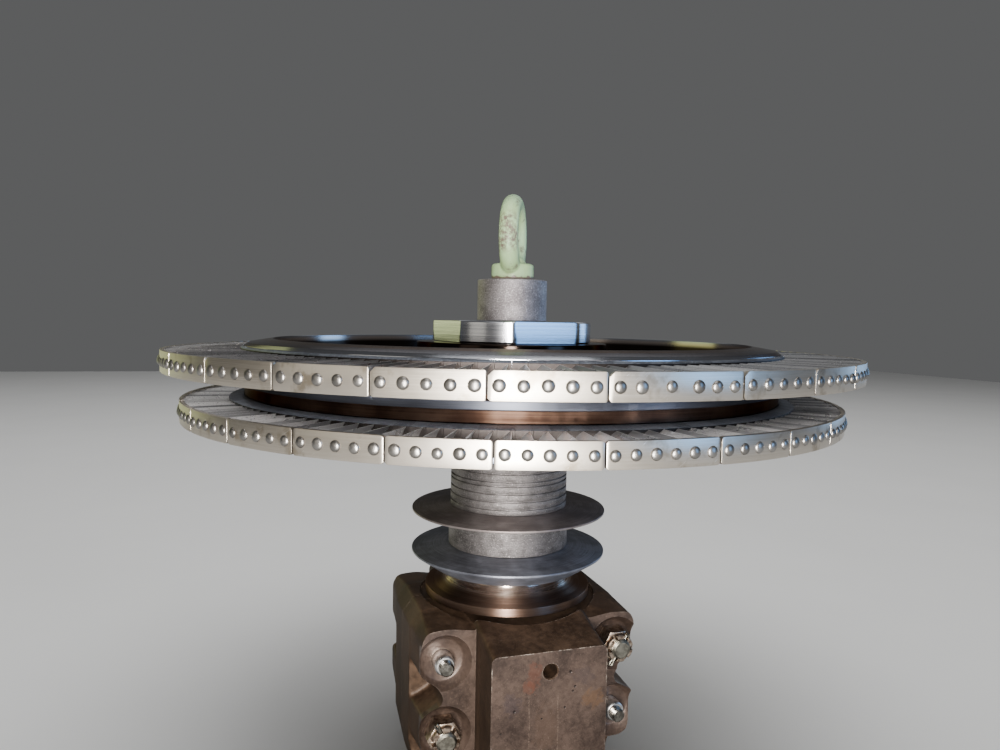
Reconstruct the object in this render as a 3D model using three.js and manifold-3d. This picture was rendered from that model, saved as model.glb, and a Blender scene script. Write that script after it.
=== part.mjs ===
// Two-row steam turbine wheel on a vertical shaft, standing in its split bearing block.
// Millimetres, +Z up, origin at the middle of the block's underside. The front face looks along -Y.
// Heights of the rotor's own pieces are measured from the top of its upper shroud.

import * as THREE from 'three';
import { mergeVertices } from 'three/addons/utils/BufferGeometryUtils.js';
import Module from 'manifold-3d';

const wasm = await Module();
wasm.setup();

// Driving dimensions of the assembly

const SHROUD_TOP = 440; // height of the upper shroud's top over the floor
const PARKED_TURN = -18.2; // how the stopped rotor is turned in the block, degrees
const FIT = 0.3; // gap between pieces that touch
const REACH = 200; // longer than anything that is drilled or milled away

// Driving dimensions of the lifting gear and the nut

const EYE = {
  seat: 74, ring: 35, rod: 10, centre: 45, turn: 82,
  collar: 22.5, collarTop: 17, chamfer: 3, shank: 12, shankDepth: 30,
};
const END_CAP = { radius: 37, bottom: 30.6, top: 73.7, chamfer: 1 };
const NUT = { radius: 84.2, bore: 37, bottom: 8.3, top: 30.2, flat: 75.7, chamfer: 1.5, flatsTurn: -62.65 };

// Driving dimensions of the wheel. Bladed rows count their angles from the first blade in front.

const SHAFT = { wheelFit: 40, thread: 36.7, journal: 55, shoulder: -261, bottom: -434, chamfer: 2 };
const HUB = { radius: 101, top: 8, topFoot: -8, chamfer: 2, lowerRadius: 95, bottom: -95, lowerFoot: -54 };
const WEB = { top: -18, bottom: -42, inner: 115, outer: 232 };
const UPPER_LIP = { inner: 245.6, top: 9.7, foot: 242, footHeight: -10, face: 268.4, faceHeight: 5.9, height: 3.3 };
const LOWER_LIP = { inner: 246, bottom: -72, foot: 244, footHeight: -50, radius: 280 };
const WAIST = { neck: 268.5, shoulder: 275, shoulderTop: -26.7, shoulderBottom: -33.6, bottom: -43.6 };
const GROOVE = { floor: 265.7, lip: 272, upperTop: 0.2 };

const BLADES_PER_SEGMENT = 5;
const PLAIN_SEGMENTS = 27; // and one longer closing segment
const BLADE = { bulge: 7, hollow: 3, sunk: 1, tipGap: 0.6 };
const UPPER_ROW = {
  root: 275.7, rootTop: 0.7, lipTop: 3.1, grooveTop: -0.1, shroud: 345, top: 0, bottom: -19.3,
  pitch: 12.72, firstGap: 26.84, closingBlades: [11.55, 13.96, 17.43, 20.73, 23.11, 25.51],
};
const LOWER_ROW = {
  root: 286, rootTop: -46, lipTop: -43.9, shroud: 329.5, top: -46.3, bottom: -65.6,
  pitch: 12.77, firstGap: 26.21, closingBlades: [12.17, 14.71, 17.27, 19.82, 22.39, 24.94],
};
const SHROUD = { thickness: 4, gapWidth: 1.2, gapDepth: 3 };

// Driving dimensions of the shaft line

const SLEEVE = { radius: 62.8, top: -95.3, bottom: -166.4, grooveWidth: 1.6, grooveDepth: 1.6 };
const SLEEVE_GROOVES = { lowest: -161, pitch: 8, lower: 4, step: 4.5, upper: 4 };
const THROWER = { radius: 104.2, edge: 2 };
const UPPER_THROWER = { top: -166.7, rimTop: -170, bottom: -176, underRadius: 74.5 };
const SPACER = { radius: 64.5, top: -176.3, bottom: -209 };
const LOWER_THROWER = { top: -209.3, rimTop: -213.9, bottom: -232, underRadius: 80.7 };
const COLLAR = {
  neck: 61.5, radius: 89, rimTop: -252, bottom: -260.7, chamfer: 1,
  neckFoot: -240, flare: 69, flareHeight: -246, shelf: 80, shelfHeight: -251,
};

// Driving dimensions of the bearing block. Its face is symmetric about the height BLOCK.middle.

const BLOCK = {
  top: 178, middle: 105.7, halfWidth: 115.5, flangeDepth: 40, foot: 106, footTop: 43, cornerX: 12, cornerZ: 16,
};
const PAD = {
  halfWidth: 57.7, front: 136.8, half: 59, shoulder: 100, shoulderHalf: 67, crown: 80, foot: 90,
  hole: 7, holeRise: 39.6, holeDepth: 28,
};
const LUG = { root: 30, front: 86, seat: 76, floor: 21.5, mouth: 28, x: 90, z: 35.3 };

// Outlines of one side's lugs as [x, z]: where they leave the flange, at their face, and the notch between them.
const LUG_ROOT = [[50, 38], [101, 38], [114, 50], [115.5, 60], [115.5, 162], [103.5, 178], [50, 178]];
const LUG_FACE = [
  [50, 41.5], [97, 42.5], [105, 46.5], [109, 54], [111, 66],
  [111, 163], [107, 170.5], [101, 172.5], [88, 173.5], [50, 168],
];
const NOTCH = [
  [125, 130], [111, 128], [104, 121], [95, 115.5], [91.5, 110], [90, 106], [92, 100], [96, 97], [104, 92], [125, 84],
];
const BORE = { housing: 66, shell: 55.5, shellTop: 165, shellBottom: 12, recess: 95, recessFloor: 173.5 };
const SPLIT_GAP = 0.15; // half of the gap between the two halves of the block
const DOWEL = { radius: 10, shoulder: 93, thread: 7, tip: 101, depth: 40 };
const STUD = { radius: 10, tip: 104, tipChamfer: 2, tipRadius: 7.5 };
const CASTLE_NUT = { flats: 30, front: 95, crown: 14, crownFront: 101, slot: 5, slotDepth: 6 };

const deg = THREE.MathUtils.degToRad;

// Materials

function metal(colour, roughness, metalness = 1) {
  return new THREE.MeshStandardMaterial({ color: colour, roughness, metalness });
}

const MATERIALS = {
  mintPaint: () => metal(0xb9cdb2, 0.6, 0),
  greySteel: () => metal(0x77716f, 0.6),
  polishedSteel: () => metal(0xb9bcc4, 0.2),
  discSteel: () => metal(0x8d857f, 0.25),
  bladeSteel: () => metal(0xa9a196, 0.35),
  shroudSteel: () => metal(0xb5ada4, 0.35),
  turnedSteel: () => metal(0x5f5a58, 0.5),
  darkSteel: () => metal(0x454a55, 0.5),
  castIron: () => metal(0x3d2e27, 0.6, 0.6),
  bearingMetal: () => metal(0x9a8b72, 0.5),
};

// Solid helpers

function toSolid(geometry) {
  const bare = geometry.index ? geometry.toNonIndexed() : geometry.clone();
  bare.deleteAttribute('normal');
  bare.deleteAttribute('uv');
  const merged = mergeVertices(bare, 1e-4);
  const index = merged.index.array;
  const triangles = [];
  for (let i = 0; i < index.length; i += 3) {
    const [a, b, c] = [index[i], index[i + 1], index[i + 2]];
    if (a !== b && b !== c && c !== a) triangles.push(a, b, c);
  }
  return new wasm.Manifold(new wasm.Mesh({
    numProp: 3,
    vertProperties: new Float32Array(merged.attributes.position.array),
    triVerts: new Uint32Array(triangles),
  }));
}

function toGeometry(solid) {
  const mesh = solid.getMesh();
  const geometry = new THREE.BufferGeometry();
  geometry.setAttribute('position', new THREE.BufferAttribute(mesh.vertProperties, 3));
  geometry.setIndex(new THREE.BufferAttribute(mesh.triVerts, 1));
  return geometry;
}

// A body turned about Z. Points are [radius, height], up the outside and down the inside.
function turned(points, segments) {
  const start = points[0];
  const end = points[points.length - 1];
  const outline = start[0] === 0 && end[0] === 0 ? points : [...points, start];
  const profile = outline.map(([radius, height]) => new THREE.Vector2(radius, height));
  return new THREE.LatheGeometry(profile, segments).rotateX(Math.PI / 2);
}

// A ring with square edges between two radii and two heights.
function ring(inner, outer, bottom, top, segments) {
  return turned([[inner, bottom], [outer, bottom], [outer, top], [inner, top]], segments);
}

function cylinder(radius, bottom, top, segments) {
  return new THREE.CylinderGeometry(radius, radius, top - bottom, segments)
    .rotateX(Math.PI / 2)
    .translate(0, 0, (bottom + top) / 2);
}

// A round bar along Y at one place of the block's face.
function barAlongY(radius, front, back, x, z, segments) {
  return new THREE.CylinderGeometry(radius, radius, back - front, segments)
    .translate(x, (front + back) / 2, z);
}

function outlineShape(points) {
  return new THREE.Shape(points.map(([x, y]) => new THREE.Vector2(x, y)));
}

// An outline in X and Z, from the plane y = back forward to the plane y = front.
function plateAcrossY(shape, front, back) {
  return new THREE.ExtrudeGeometry(shape, { depth: back - front, bevelEnabled: false })
    .rotateX(Math.PI / 2)
    .translate(0, back, 0);
}

function piece(name, geometry, material) {
  const mesh = new THREE.Mesh(geometry, material());
  mesh.name = name;
  return mesh;
}

// Lifting gear and nut

function eyeBolt() {
  const eye = new THREE.TorusGeometry(EYE.ring, EYE.rod, 10, 24).rotateX(Math.PI / 2)
    .rotateZ(deg(EYE.turn))
    .translate(0, 0, EYE.seat + EYE.centre);
  const foot = turned([
    [0, EYE.seat - EYE.shankDepth],
    [EYE.shank, EYE.seat - EYE.shankDepth],
    [EYE.shank, EYE.seat],
    [EYE.collar - EYE.chamfer, EYE.seat],
    [EYE.collar, EYE.seat + EYE.chamfer],
    [EYE.collar, EYE.seat + EYE.collarTop - EYE.chamfer],
    [EYE.collar - EYE.chamfer, EYE.seat + EYE.collarTop],
    [0, EYE.seat + EYE.collarTop],
  ], 24);
  return piece('eye_bolt', toGeometry(toSolid(eye).add(toSolid(foot))), MATERIALS.mintPaint);
}

function shaftEndCap() {
  const drill = EYE.shank + FIT;
  const floor = EYE.seat - EYE.shankDepth - FIT;
  const body = turned([
    [0, END_CAP.bottom],
    [END_CAP.radius, END_CAP.bottom],
    [END_CAP.radius, END_CAP.top - END_CAP.chamfer],
    [END_CAP.radius - END_CAP.chamfer, END_CAP.top],
    [drill, END_CAP.top],
    [drill, floor],
    [0, floor],
  ], 40);
  return piece('shaft_end_cap', body, MATERIALS.greySteel);
}

function wheelNut() {
  let nut = toSolid(turned([
    [NUT.bore, NUT.bottom],
    [NUT.radius - NUT.chamfer, NUT.bottom],
    [NUT.radius, NUT.bottom + NUT.chamfer],
    [NUT.radius, NUT.top - NUT.chamfer],
    [NUT.radius - NUT.chamfer, NUT.top],
    [NUT.bore, NUT.top],
  ], 48));
  const cutter = new THREE.BoxGeometry(REACH, REACH, REACH).translate(NUT.flat + REACH / 2, 0, 0);
  for (let i = 0; i < 4; i += 1) {
    nut = nut.subtract(toSolid(cutter.clone().rotateZ(deg(NUT.flatsTurn + 90 * i))));
  }
  return piece('wheel_nut', toGeometry(nut), MATERIALS.polishedSteel);
}

// Wheel disc: hub, web and a rim with a blade groove above and below its waist

function wheelDisc() {
  const bore = SHAFT.wheelFit + FIT;
  const lowerFloor = LOWER_ROW.bottom - FIT * 2;
  const upperFloor = UPPER_ROW.bottom - FIT * 2;
  const underside = [
    [bore, HUB.bottom],
    [HUB.lowerRadius, HUB.bottom],
    [HUB.lowerRadius, HUB.lowerFoot],
    [WEB.inner, WEB.bottom],
    [WEB.outer, WEB.bottom],
    [LOWER_LIP.foot, LOWER_LIP.footHeight],
    [LOWER_LIP.inner, LOWER_LIP.bottom],
    [LOWER_LIP.radius, LOWER_LIP.bottom],
    [LOWER_LIP.radius, lowerFloor],
  ];
  const rim = [
    [GROOVE.floor, lowerFloor],
    [GROOVE.floor, WAIST.bottom],
    [GROOVE.lip, WAIST.bottom],
    [GROOVE.lip, WAIST.shoulderBottom],
    [WAIST.shoulder, WAIST.shoulderBottom],
    [WAIST.shoulder, WAIST.shoulderTop],
    [WAIST.neck, WAIST.shoulderTop],
    [WAIST.neck, upperFloor],
    [GROOVE.floor, upperFloor],
    [GROOVE.floor, GROOVE.upperTop],
  ];
  const topSide = [
    [GROOVE.lip, GROOVE.upperTop],
    [GROOVE.lip, UPPER_LIP.height],
    [UPPER_LIP.face, UPPER_LIP.faceHeight],
    [UPPER_LIP.inner, UPPER_LIP.top],
    [UPPER_LIP.foot, UPPER_LIP.footHeight],
    [WEB.outer, WEB.top],
    [WEB.inner, WEB.top],
    [HUB.radius, HUB.topFoot],
    [HUB.radius, HUB.top - HUB.chamfer],
    [HUB.radius - HUB.chamfer, HUB.top],
    [bore, HUB.top],
  ];
  return piece('wheel_disc', turned([...underside, ...rim, ...topSide], 60), MATERIALS.discSteel);
}

// Blade rows

function bladeAngles(row) {
  const angles = [...row.closingBlades];
  for (let segment = 0; segment < PLAIN_SEGMENTS; segment += 1) {
    for (let i = 0; i < BLADES_PER_SEGMENT; i += 1) {
      angles.push(row.firstGap + row.pitch * (segment + (i + 0.5) / BLADES_PER_SEGMENT));
    }
  }
  return angles;
}

// One blade: a hollow-backed section that runs out along +X from the root ring to the shroud.
function blade(row) {
  const width = row.top - row.bottom;
  const edge = BLADE.bulge / 2;
  const section = outlineShape([
    [edge, 0],
    [-edge, -width / 2],
    [edge, -width],
    [edge - BLADE.hollow, -width / 2],
  ]);
  const start = row.root - BLADE.sunk;
  const end = row.shroud - SHROUD.thickness - BLADE.tipGap;
  return new THREE.ExtrudeGeometry(section, { depth: end - start, bevelEnabled: false })
    .rotateX(Math.PI / 2)
    .rotateZ(Math.PI / 2)
    .translate(start, 0, row.top);
}

function bladeRow(name, row, rootProfile) {
  const rootRing = toSolid(turned(rootProfile, 60));
  const single = blade(row);
  const blades = bladeAngles(row).map((angle) => toSolid(single.clone().rotateZ(deg(angle - 90))));
  const body = wasm.Manifold.union([rootRing, ...blades]);
  return piece(name, toGeometry(body), MATERIALS.bladeSteel);
}

function upperBladeRow() {
  const inner = GROOVE.floor + FIT;
  const lip = GROOVE.lip + FIT;
  const bottom = UPPER_ROW.bottom - FIT;
  return bladeRow('upper_blade_row', UPPER_ROW, [
    [inner, bottom],
    [UPPER_ROW.root, bottom],
    [UPPER_ROW.root, UPPER_ROW.rootTop],
    [lip, UPPER_ROW.lipTop],
    [lip, UPPER_ROW.grooveTop],
    [inner, UPPER_ROW.grooveTop],
  ]);
}

function lowerBladeRow() {
  const inner = GROOVE.floor + FIT;
  const bottom = LOWER_ROW.bottom - FIT;
  return bladeRow('lower_blade_row', LOWER_ROW, [
    [inner, bottom],
    [LOWER_ROW.root, bottom],
    [LOWER_ROW.root, LOWER_ROW.rootTop],
    [GROOVE.lip + FIT, LOWER_ROW.lipTop],
    [inner, LOWER_ROW.lipTop],
  ]);
}

function shroud(name, row) {
  let band = toSolid(ring(row.shroud - SHROUD.thickness, row.shroud, row.bottom, row.top, 84));
  const notch = new THREE.BoxGeometry(SHROUD.gapDepth * 2, SHROUD.gapWidth, REACH)
    .translate(row.shroud, 0, row.top);
  for (let segment = 0; segment <= PLAIN_SEGMENTS; segment += 1) {
    const angle = row.firstGap + row.pitch * segment;
    band = band.subtract(toSolid(notch.clone().rotateZ(deg(angle - 90))));
  }
  return piece(name, toGeometry(band), MATERIALS.shroudSteel);
}

// Shaft line

function shaft() {
  return piece('shaft', turned([
    [0, SHAFT.bottom],
    [SHAFT.journal - SHAFT.chamfer, SHAFT.bottom],
    [SHAFT.journal, SHAFT.bottom + SHAFT.chamfer],
    [SHAFT.journal, SHAFT.shoulder],
    [SHAFT.wheelFit, SHAFT.shoulder],
    [SHAFT.wheelFit, HUB.top],
    [SHAFT.thread, HUB.top],
    [SHAFT.thread, NUT.top],
    [0, NUT.top],
  ], 40), MATERIALS.greySteel);
}

function sleeveGrooveHeights() {
  const { lowest, pitch, lower, step, upper } = SLEEVE_GROOVES;
  const heights = [];
  for (let i = 0; i < lower; i += 1) heights.push(lowest + pitch * i);
  const second = lowest + pitch * (lower - 1) + step;
  for (let i = 0; i < upper; i += 1) heights.push(second + pitch * i);
  return heights;
}

function glandSleeve() {
  const bore = SHAFT.wheelFit + FIT;
  const floor = SLEEVE.radius - SLEEVE.grooveDepth;
  const outside = sleeveGrooveHeights().flatMap((height) => [
    [SLEEVE.radius, height],
    [floor, height],
    [floor, height + SLEEVE.grooveWidth],
    [SLEEVE.radius, height + SLEEVE.grooveWidth],
  ]);
  return piece('gland_sleeve', turned([
    [bore, SLEEVE.bottom],
    [SLEEVE.radius, SLEEVE.bottom],
    ...outside,
    [SLEEVE.radius, SLEEVE.top],
    [bore, SLEEVE.top],
  ], 36), MATERIALS.turnedSteel);
}

function thrower(name, { top, rimTop, bottom, underRadius }, topRadius) {
  return piece(name, turned([
    [SHAFT.wheelFit + FIT, bottom],
    [underRadius, bottom],
    [THROWER.radius, rimTop - THROWER.edge],
    [THROWER.radius, rimTop],
    [topRadius, top],
    [SHAFT.wheelFit + FIT, top],
  ], 48), MATERIALS.darkSteel);
}

function spacerSleeve() {
  return piece('spacer_sleeve', ring(
    SHAFT.wheelFit + FIT, SPACER.radius, SPACER.bottom, SPACER.top, 40,
  ), MATERIALS.turnedSteel);
}

function oilCollar() {
  const top = LOWER_THROWER.bottom - FIT;
  return piece('oil_collar', turned([
    [SHAFT.wheelFit + FIT, COLLAR.bottom],
    [COLLAR.radius - COLLAR.chamfer, COLLAR.bottom],
    [COLLAR.radius, COLLAR.bottom + COLLAR.chamfer],
    [COLLAR.radius, COLLAR.rimTop],
    [COLLAR.shelf, COLLAR.shelfHeight],
    [COLLAR.flare, COLLAR.flareHeight],
    [COLLAR.neck, COLLAR.neckFoot],
    [COLLAR.neck, top],
    [SHAFT.wheelFit + FIT, top],
  ], 40), MATERIALS.polishedSteel);
}

// Bearing block, modelled as its front half and turned round for the rear one

function flangeOutline() {
  const { halfWidth: w, top, cornerX, cornerZ, foot, footTop } = BLOCK;
  return outlineShape([
    [-foot, 0], [foot, 0], [w, footTop], [w, top - cornerZ],
    [w - cornerX, top], [-w + cornerX, top], [-w, top - cornerZ], [-w, footTop],
  ]);
}

// The two lugs of one side, which taper from the flange to their face and have a notch between them.
function lugBody(side) {
  const level = (outline, depth) => outline.map(([x, z]) => [side * x, -depth, z]);
  const notch = outlineShape(NOTCH.map(([x, z]) => [side * x, z]));
  return wasm.Manifold.hull([...level(LUG_ROOT, LUG.root), ...level(LUG_FACE, LUG.front)])
    .subtract(toSolid(plateAcrossY(notch, -REACH, -BLOCK.flangeDepth)));
}

function padBody() {
  const { top, middle } = BLOCK;
  const profile = outlineShape([
    [0, 0],
    [PAD.foot, 0],
    [PAD.front, middle - PAD.half],
    [PAD.front, middle + PAD.half],
    [PAD.shoulder, middle + PAD.shoulderHalf],
    [PAD.crown, top],
    [0, top],
  ]);
  return new THREE.ExtrudeGeometry(profile, { depth: PAD.halfWidth * 2, bevelEnabled: false })
    .rotateX(Math.PI / 2)
    .rotateZ(-Math.PI / 2)
    .translate(PAD.halfWidth, -SPLIT_GAP, 0);
}

function fastenerPlaces() {
  const high = BLOCK.middle + LUG.z;
  const low = BLOCK.middle - LUG.z;
  return {
    dowel_upper_left: [-LUG.x, high],
    dowel_lower_right: [LUG.x, low],
    stud_upper_right: [LUG.x, high],
    stud_lower_left: [-LUG.x, low],
  };
}

function blockHalf() {
  const tapped = barAlongY(PAD.hole, -REACH, PAD.holeDepth - PAD.front, 0, BLOCK.middle + PAD.holeRise, 16);
  return toSolid(plateAcrossY(flangeOutline(), -BLOCK.flangeDepth, -SPLIT_GAP))
    .add(lugBody(1))
    .add(lugBody(-1))
    .add(toSolid(padBody()))
    .subtract(toSolid(cylinder(BORE.housing, -REACH, REACH, 40)))
    .subtract(toSolid(cylinder(BORE.recess, BORE.recessFloor, REACH, 40)))
    .subtract(toSolid(tapped));
}

// The recess round a fastener: a flat floor and a wall that widens towards the lug's face.
function recess(x, z) {
  const depth = LUG.front + 2 - LUG.seat;
  const spread = (LUG.mouth - LUG.floor) / (LUG.front - LUG.seat);
  return new THREE.CylinderGeometry(LUG.floor, LUG.floor + spread * depth, depth, 32)
    .translate(x, -LUG.seat - depth / 2, z);
}

function frontCap() {
  let cap = blockHalf();
  for (const [x, z] of Object.values(fastenerPlaces())) {
    cap = cap.subtract(toSolid(recess(x, z)));
    cap = cap.subtract(toSolid(barAlongY(DOWEL.radius + FIT, -REACH, REACH, x, z, 24)));
  }
  return piece('bearing_cap_front', toGeometry(cap), MATERIALS.castIron);
}

function rearBody() {
  let body = toSolid(toGeometry(blockHalf()).rotateZ(Math.PI));
  for (const [x, z] of Object.values(fastenerPlaces())) {
    body = body.subtract(toSolid(barAlongY(DOWEL.radius + FIT, -REACH, DOWEL.depth + FIT, x, z, 24)));
  }
  return piece('bearing_body_rear', toGeometry(body), MATERIALS.castIron);
}

function journalShell(name, turn) {
  const outer = BORE.housing - FIT;
  const split = Math.asin(SPLIT_GAP / BORE.shell);
  const shape = new THREE.Shape();
  shape.absarc(0, 0, outer, split, Math.PI - split, false);
  shape.absarc(0, 0, BORE.shell, Math.PI - split, split, true);
  shape.closePath();
  const body = new THREE.ExtrudeGeometry(shape, {
    depth: BORE.shellTop - BORE.shellBottom, bevelEnabled: false, curveSegments: 20,
  }).translate(0, 0, BORE.shellBottom).rotateZ(turn);
  return piece(name, body, MATERIALS.bearingMetal);
}

function dowel(name, [x, z]) {
  const body = toSolid(barAlongY(DOWEL.radius, -DOWEL.shoulder, DOWEL.depth, x, z, 24))
    .add(toSolid(barAlongY(DOWEL.thread, -DOWEL.tip, 0, x, z, 16)));
  return piece(name, toGeometry(body), MATERIALS.polishedSteel);
}

function stud(name, [x, z]) {
  const body = toSolid(barAlongY(STUD.radius, STUD.tipChamfer - STUD.tip, DOWEL.depth, x, z, 24))
    .add(toSolid(barAlongY(STUD.tipRadius, -STUD.tip, 0, x, z, 24)));
  return piece(name, toGeometry(body), MATERIALS.greySteel);
}

function castleNut(name, [x, z]) {
  const corner = CASTLE_NUT.flats / 2 / Math.cos(Math.PI / 6);
  const seat = LUG.seat + FIT;
  const crown = barAlongY(CASTLE_NUT.crown, -CASTLE_NUT.crownFront, -seat, 0, 0, 24);
  let nut = toSolid(new THREE.CylinderGeometry(corner, corner, CASTLE_NUT.front - seat, 6)
    .translate(0, -(seat + CASTLE_NUT.front) / 2, 0));
  nut = nut.add(toSolid(crown))
    .subtract(toSolid(barAlongY(STUD.radius + FIT, -REACH, 0, 0, 0, 24)));
  const slotFloor = CASTLE_NUT.slotDepth - CASTLE_NUT.crownFront;
  for (let i = 0; i < 3; i += 1) {
    const slot = new THREE.BoxGeometry(REACH, REACH, CASTLE_NUT.slot)
      .translate(0, slotFloor - REACH / 2, 0)
      .rotateY((Math.PI / 3) * i);
    nut = nut.subtract(toSolid(slot));
  }
  return piece(name, toGeometry(nut).translate(x, 0, z), MATERIALS.polishedSteel);
}

// Assembly

const rotor = new THREE.Group();
rotor.position.z = SHROUD_TOP;
rotor.rotation.z = deg(PARKED_TURN);
rotor.add(eyeBolt(), shaftEndCap(), wheelNut(), wheelDisc());
rotor.add(upperBladeRow(), shroud('upper_shroud', UPPER_ROW));
rotor.add(lowerBladeRow(), shroud('lower_shroud', LOWER_ROW));
rotor.add(shaft(), glandSleeve(), spacerSleeve(), oilCollar());
rotor.add(thrower('upper_thrower', UPPER_THROWER, SLEEVE.radius));
rotor.add(thrower('lower_thrower', LOWER_THROWER, SPACER.radius));

const block = new THREE.Group();
const places = fastenerPlaces();
block.add(frontCap(), rearBody());
block.add(journalShell('journal_shell_rear', 0), journalShell('journal_shell_front', Math.PI));
block.add(dowel('dowel_upper_left', places.dowel_upper_left));
block.add(dowel('dowel_lower_right', places.dowel_lower_right));
block.add(stud('stud_upper_right', places.stud_upper_right));
block.add(stud('stud_lower_left', places.stud_lower_left));
block.add(castleNut('castle_nut_upper_right', places.stud_upper_right));
block.add(castleNut('castle_nut_lower_left', places.stud_lower_left));

const group = new THREE.Group();
group.add(rotor, block);

export default group;
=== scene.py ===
# Steam turbine rotor standing in its split bearing block: the visual model.
# Named sizes are millimetres and degrees. Heights of the rotor's pieces count from its upper shroud's top.

import math
import random
from types import SimpleNamespace as Sizes

import bmesh
import bpy
from mathutils import Matrix, Vector

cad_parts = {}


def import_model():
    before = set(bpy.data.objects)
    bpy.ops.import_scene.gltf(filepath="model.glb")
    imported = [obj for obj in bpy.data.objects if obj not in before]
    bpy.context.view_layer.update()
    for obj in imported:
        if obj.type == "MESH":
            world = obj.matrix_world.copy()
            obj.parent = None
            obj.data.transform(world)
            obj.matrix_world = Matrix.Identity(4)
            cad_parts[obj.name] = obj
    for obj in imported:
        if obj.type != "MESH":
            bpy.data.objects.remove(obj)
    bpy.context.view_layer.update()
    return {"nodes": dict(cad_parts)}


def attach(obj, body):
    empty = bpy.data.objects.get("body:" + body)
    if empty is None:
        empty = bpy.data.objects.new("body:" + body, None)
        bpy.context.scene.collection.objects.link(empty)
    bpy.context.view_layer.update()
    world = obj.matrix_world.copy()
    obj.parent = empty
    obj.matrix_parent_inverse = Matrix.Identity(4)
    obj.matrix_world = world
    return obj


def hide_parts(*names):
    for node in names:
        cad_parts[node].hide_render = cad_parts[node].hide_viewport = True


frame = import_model()

MM = 0.001
ROTOR = "rotor"
BLOCK_BODY = "bearing_block"

# Sizes of the rotor

SHROUD_TOP = 440
PARKED_TURN = -18.2
FRONT = -90
ROW_TURN = PARKED_TURN + FRONT
FIT = 0.3
SHAFT_BORE = 40 + FIT

EYE = Sizes(
    seat=74, ring=35, rod=10, centre=45, turn=82, collar=22.5, collar_top=17, shank=12, shank_depth=30,
    foot=15, foot_top=10, foot_rise=7, voxel=0.9, smoothing=7,
)
END_CAP = Sizes(radius=37, bottom=30.6, top=73.7, chamfer=1.2)
NUT = Sizes(
    radius=84.2, bore=37, bottom=8.3, top=30.2, flat=75.7, chamfer=1.5, edge=0.5, softness=0.3,
    flats_turn=-62.65,
)
HUB = Sizes(radius=101, top=8, top_foot=-8, lower_radius=95, bottom=-95, lower_foot=-54)
WEB = Sizes(top=-18, bottom=-42, inner=115, outer=232)
UPPER_LIP = Sizes(inner=245.6, top=9.7, foot=242, foot_height=-10, face=268.4, face_height=5.9, height=3.3)
LOWER_LIP = Sizes(inner=246, bottom=-72, foot=244, foot_height=-50, radius=280)
WAIST = Sizes(neck=268.5, shoulder=275, shoulder_top=-26.7, shoulder_bottom=-33.6, bottom=-43.6)
GROOVE = Sizes(floor=265.7, lip=272, upper_top=0.2)

BLADES_PER_SEGMENT = 5
PLAIN_SEGMENTS = 27
BLADE = Sizes(bulge=7, hollow=3.4, edge=0.5, sunk=1, tip_gap=0.1, steps=8)
UPPER_ROW = Sizes(
    root=275.7, root_top=0.7, lip_top=3.1, groove_top=-0.1, shroud=345, top=0, bottom=-19.3,
    pitch=12.72, first_gap=26.84, closing=[11.55, 13.96, 17.43, 20.73, 23.11, 25.51],
)
LOWER_ROW = Sizes(
    root=286, root_top=-46, lip_top=-43.9, groove_top=-46, shroud=329.5, top=-46.3, bottom=-65.6,
    pitch=12.77, first_gap=26.21, closing=[12.17, 14.71, 17.27, 19.82, 22.39, 24.94],
)
ROOT_BLOCK = Sizes(joint=0.12, fillet=0.4, columns=4)
SHROUD = Sizes(thickness=4, gap=1.1, step=5, bevel=0.35)
CORNER_COLUMNS = [0, 0.15, 0.5, 1.0, 1.7, 2.5, 3.6]
UPPER_CORNERS = (("cut", 3.4), ("cut", 1.6), ("round", 1.2), ("round", 1.2))
LOWER_CORNERS = (("round", 2.4),) * 4
TENON = Sizes(radius=4.4, height=2.2, sunk=0.2, steps=16, crown=1.02)
TENON_PROFILE = [(1.0, 0.0), (0.97, 0.22), (0.86, 0.52), (0.66, 0.76), (0.40, 0.92), (0.14, 1.0)]

SLEEVE = Sizes(radius=62.8, top=-95.3, bottom=-166.4, groove=1.6, depth=1.6)
SLEEVE_GROOVES = Sizes(lowest=-161, pitch=8, lower=4, step=4.5, upper=4)
THROWER = Sizes(radius=104.2, edge=2, top_foot=3)
UPPER_THROWER = Sizes(top=-166.7, rim_top=-170, bottom=-176, under=74.5)
SPACER = Sizes(radius=64.5, top=-176.3, bottom=-209)
LOWER_THROWER = Sizes(top=-209.3, rim_top=-213.9, bottom=-232, under=80.7)
COLLAR = Sizes(
    neck=61.5, radius=89, rim_top=-252, bottom=-260.7,
    neck_foot=-240, flare=69, flare_height=-246, shelf=80, shelf_height=-251,
)

# Sizes of the bearing block

BLOCK = Sizes(
    top=178, middle=105.7, half_width=115.5, flange_depth=40, foot=106, foot_top=43, corner_x=12, corner_z=16,
)
PAD = Sizes(
    half_width=57.7, front=136.8, half=59, shoulder=100, shoulder_half=67, crown=80, foot=90,
    hole=7, hole_rise=39.6, hole_depth=28, edge=5, side_gap=0.6,
)
LUG = Sizes(root=30, front=86, seat=76, floor=21.5, mouth=28, x=90, z=35.3)
LUG_ROOT = [(50, 38), (101, 38), (114, 50), (115.5, 60), (115.5, 162), (103.5, 178), (50, 178)]
LUG_FACE = [
    (50, 41.5), (97, 42.5), (105, 46.5), (109, 54), (111, 66),
    (111, 163), (107, 170.5), (101, 172.5), (88, 173.5), (50, 168),
]
NOTCH = [
    (125, 130), (111, 128), (104, 121), (95, 115.5), (91.5, 110),
    (90, 106), (92, 100), (96, 97), (104, 92), (125, 84),
]
BORE = Sizes(housing=66, recess=95, recess_floor=173.5)
SPLIT_GAP = 0.15
DOWEL = Sizes(radius=10, shoulder=93, thread=7, tip=101, depth=40, pitch=1.5, thread_depth=0.7)
STUD = Sizes(radius=10, tip=104, pitch=2.5, thread_depth=1.2)
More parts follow.
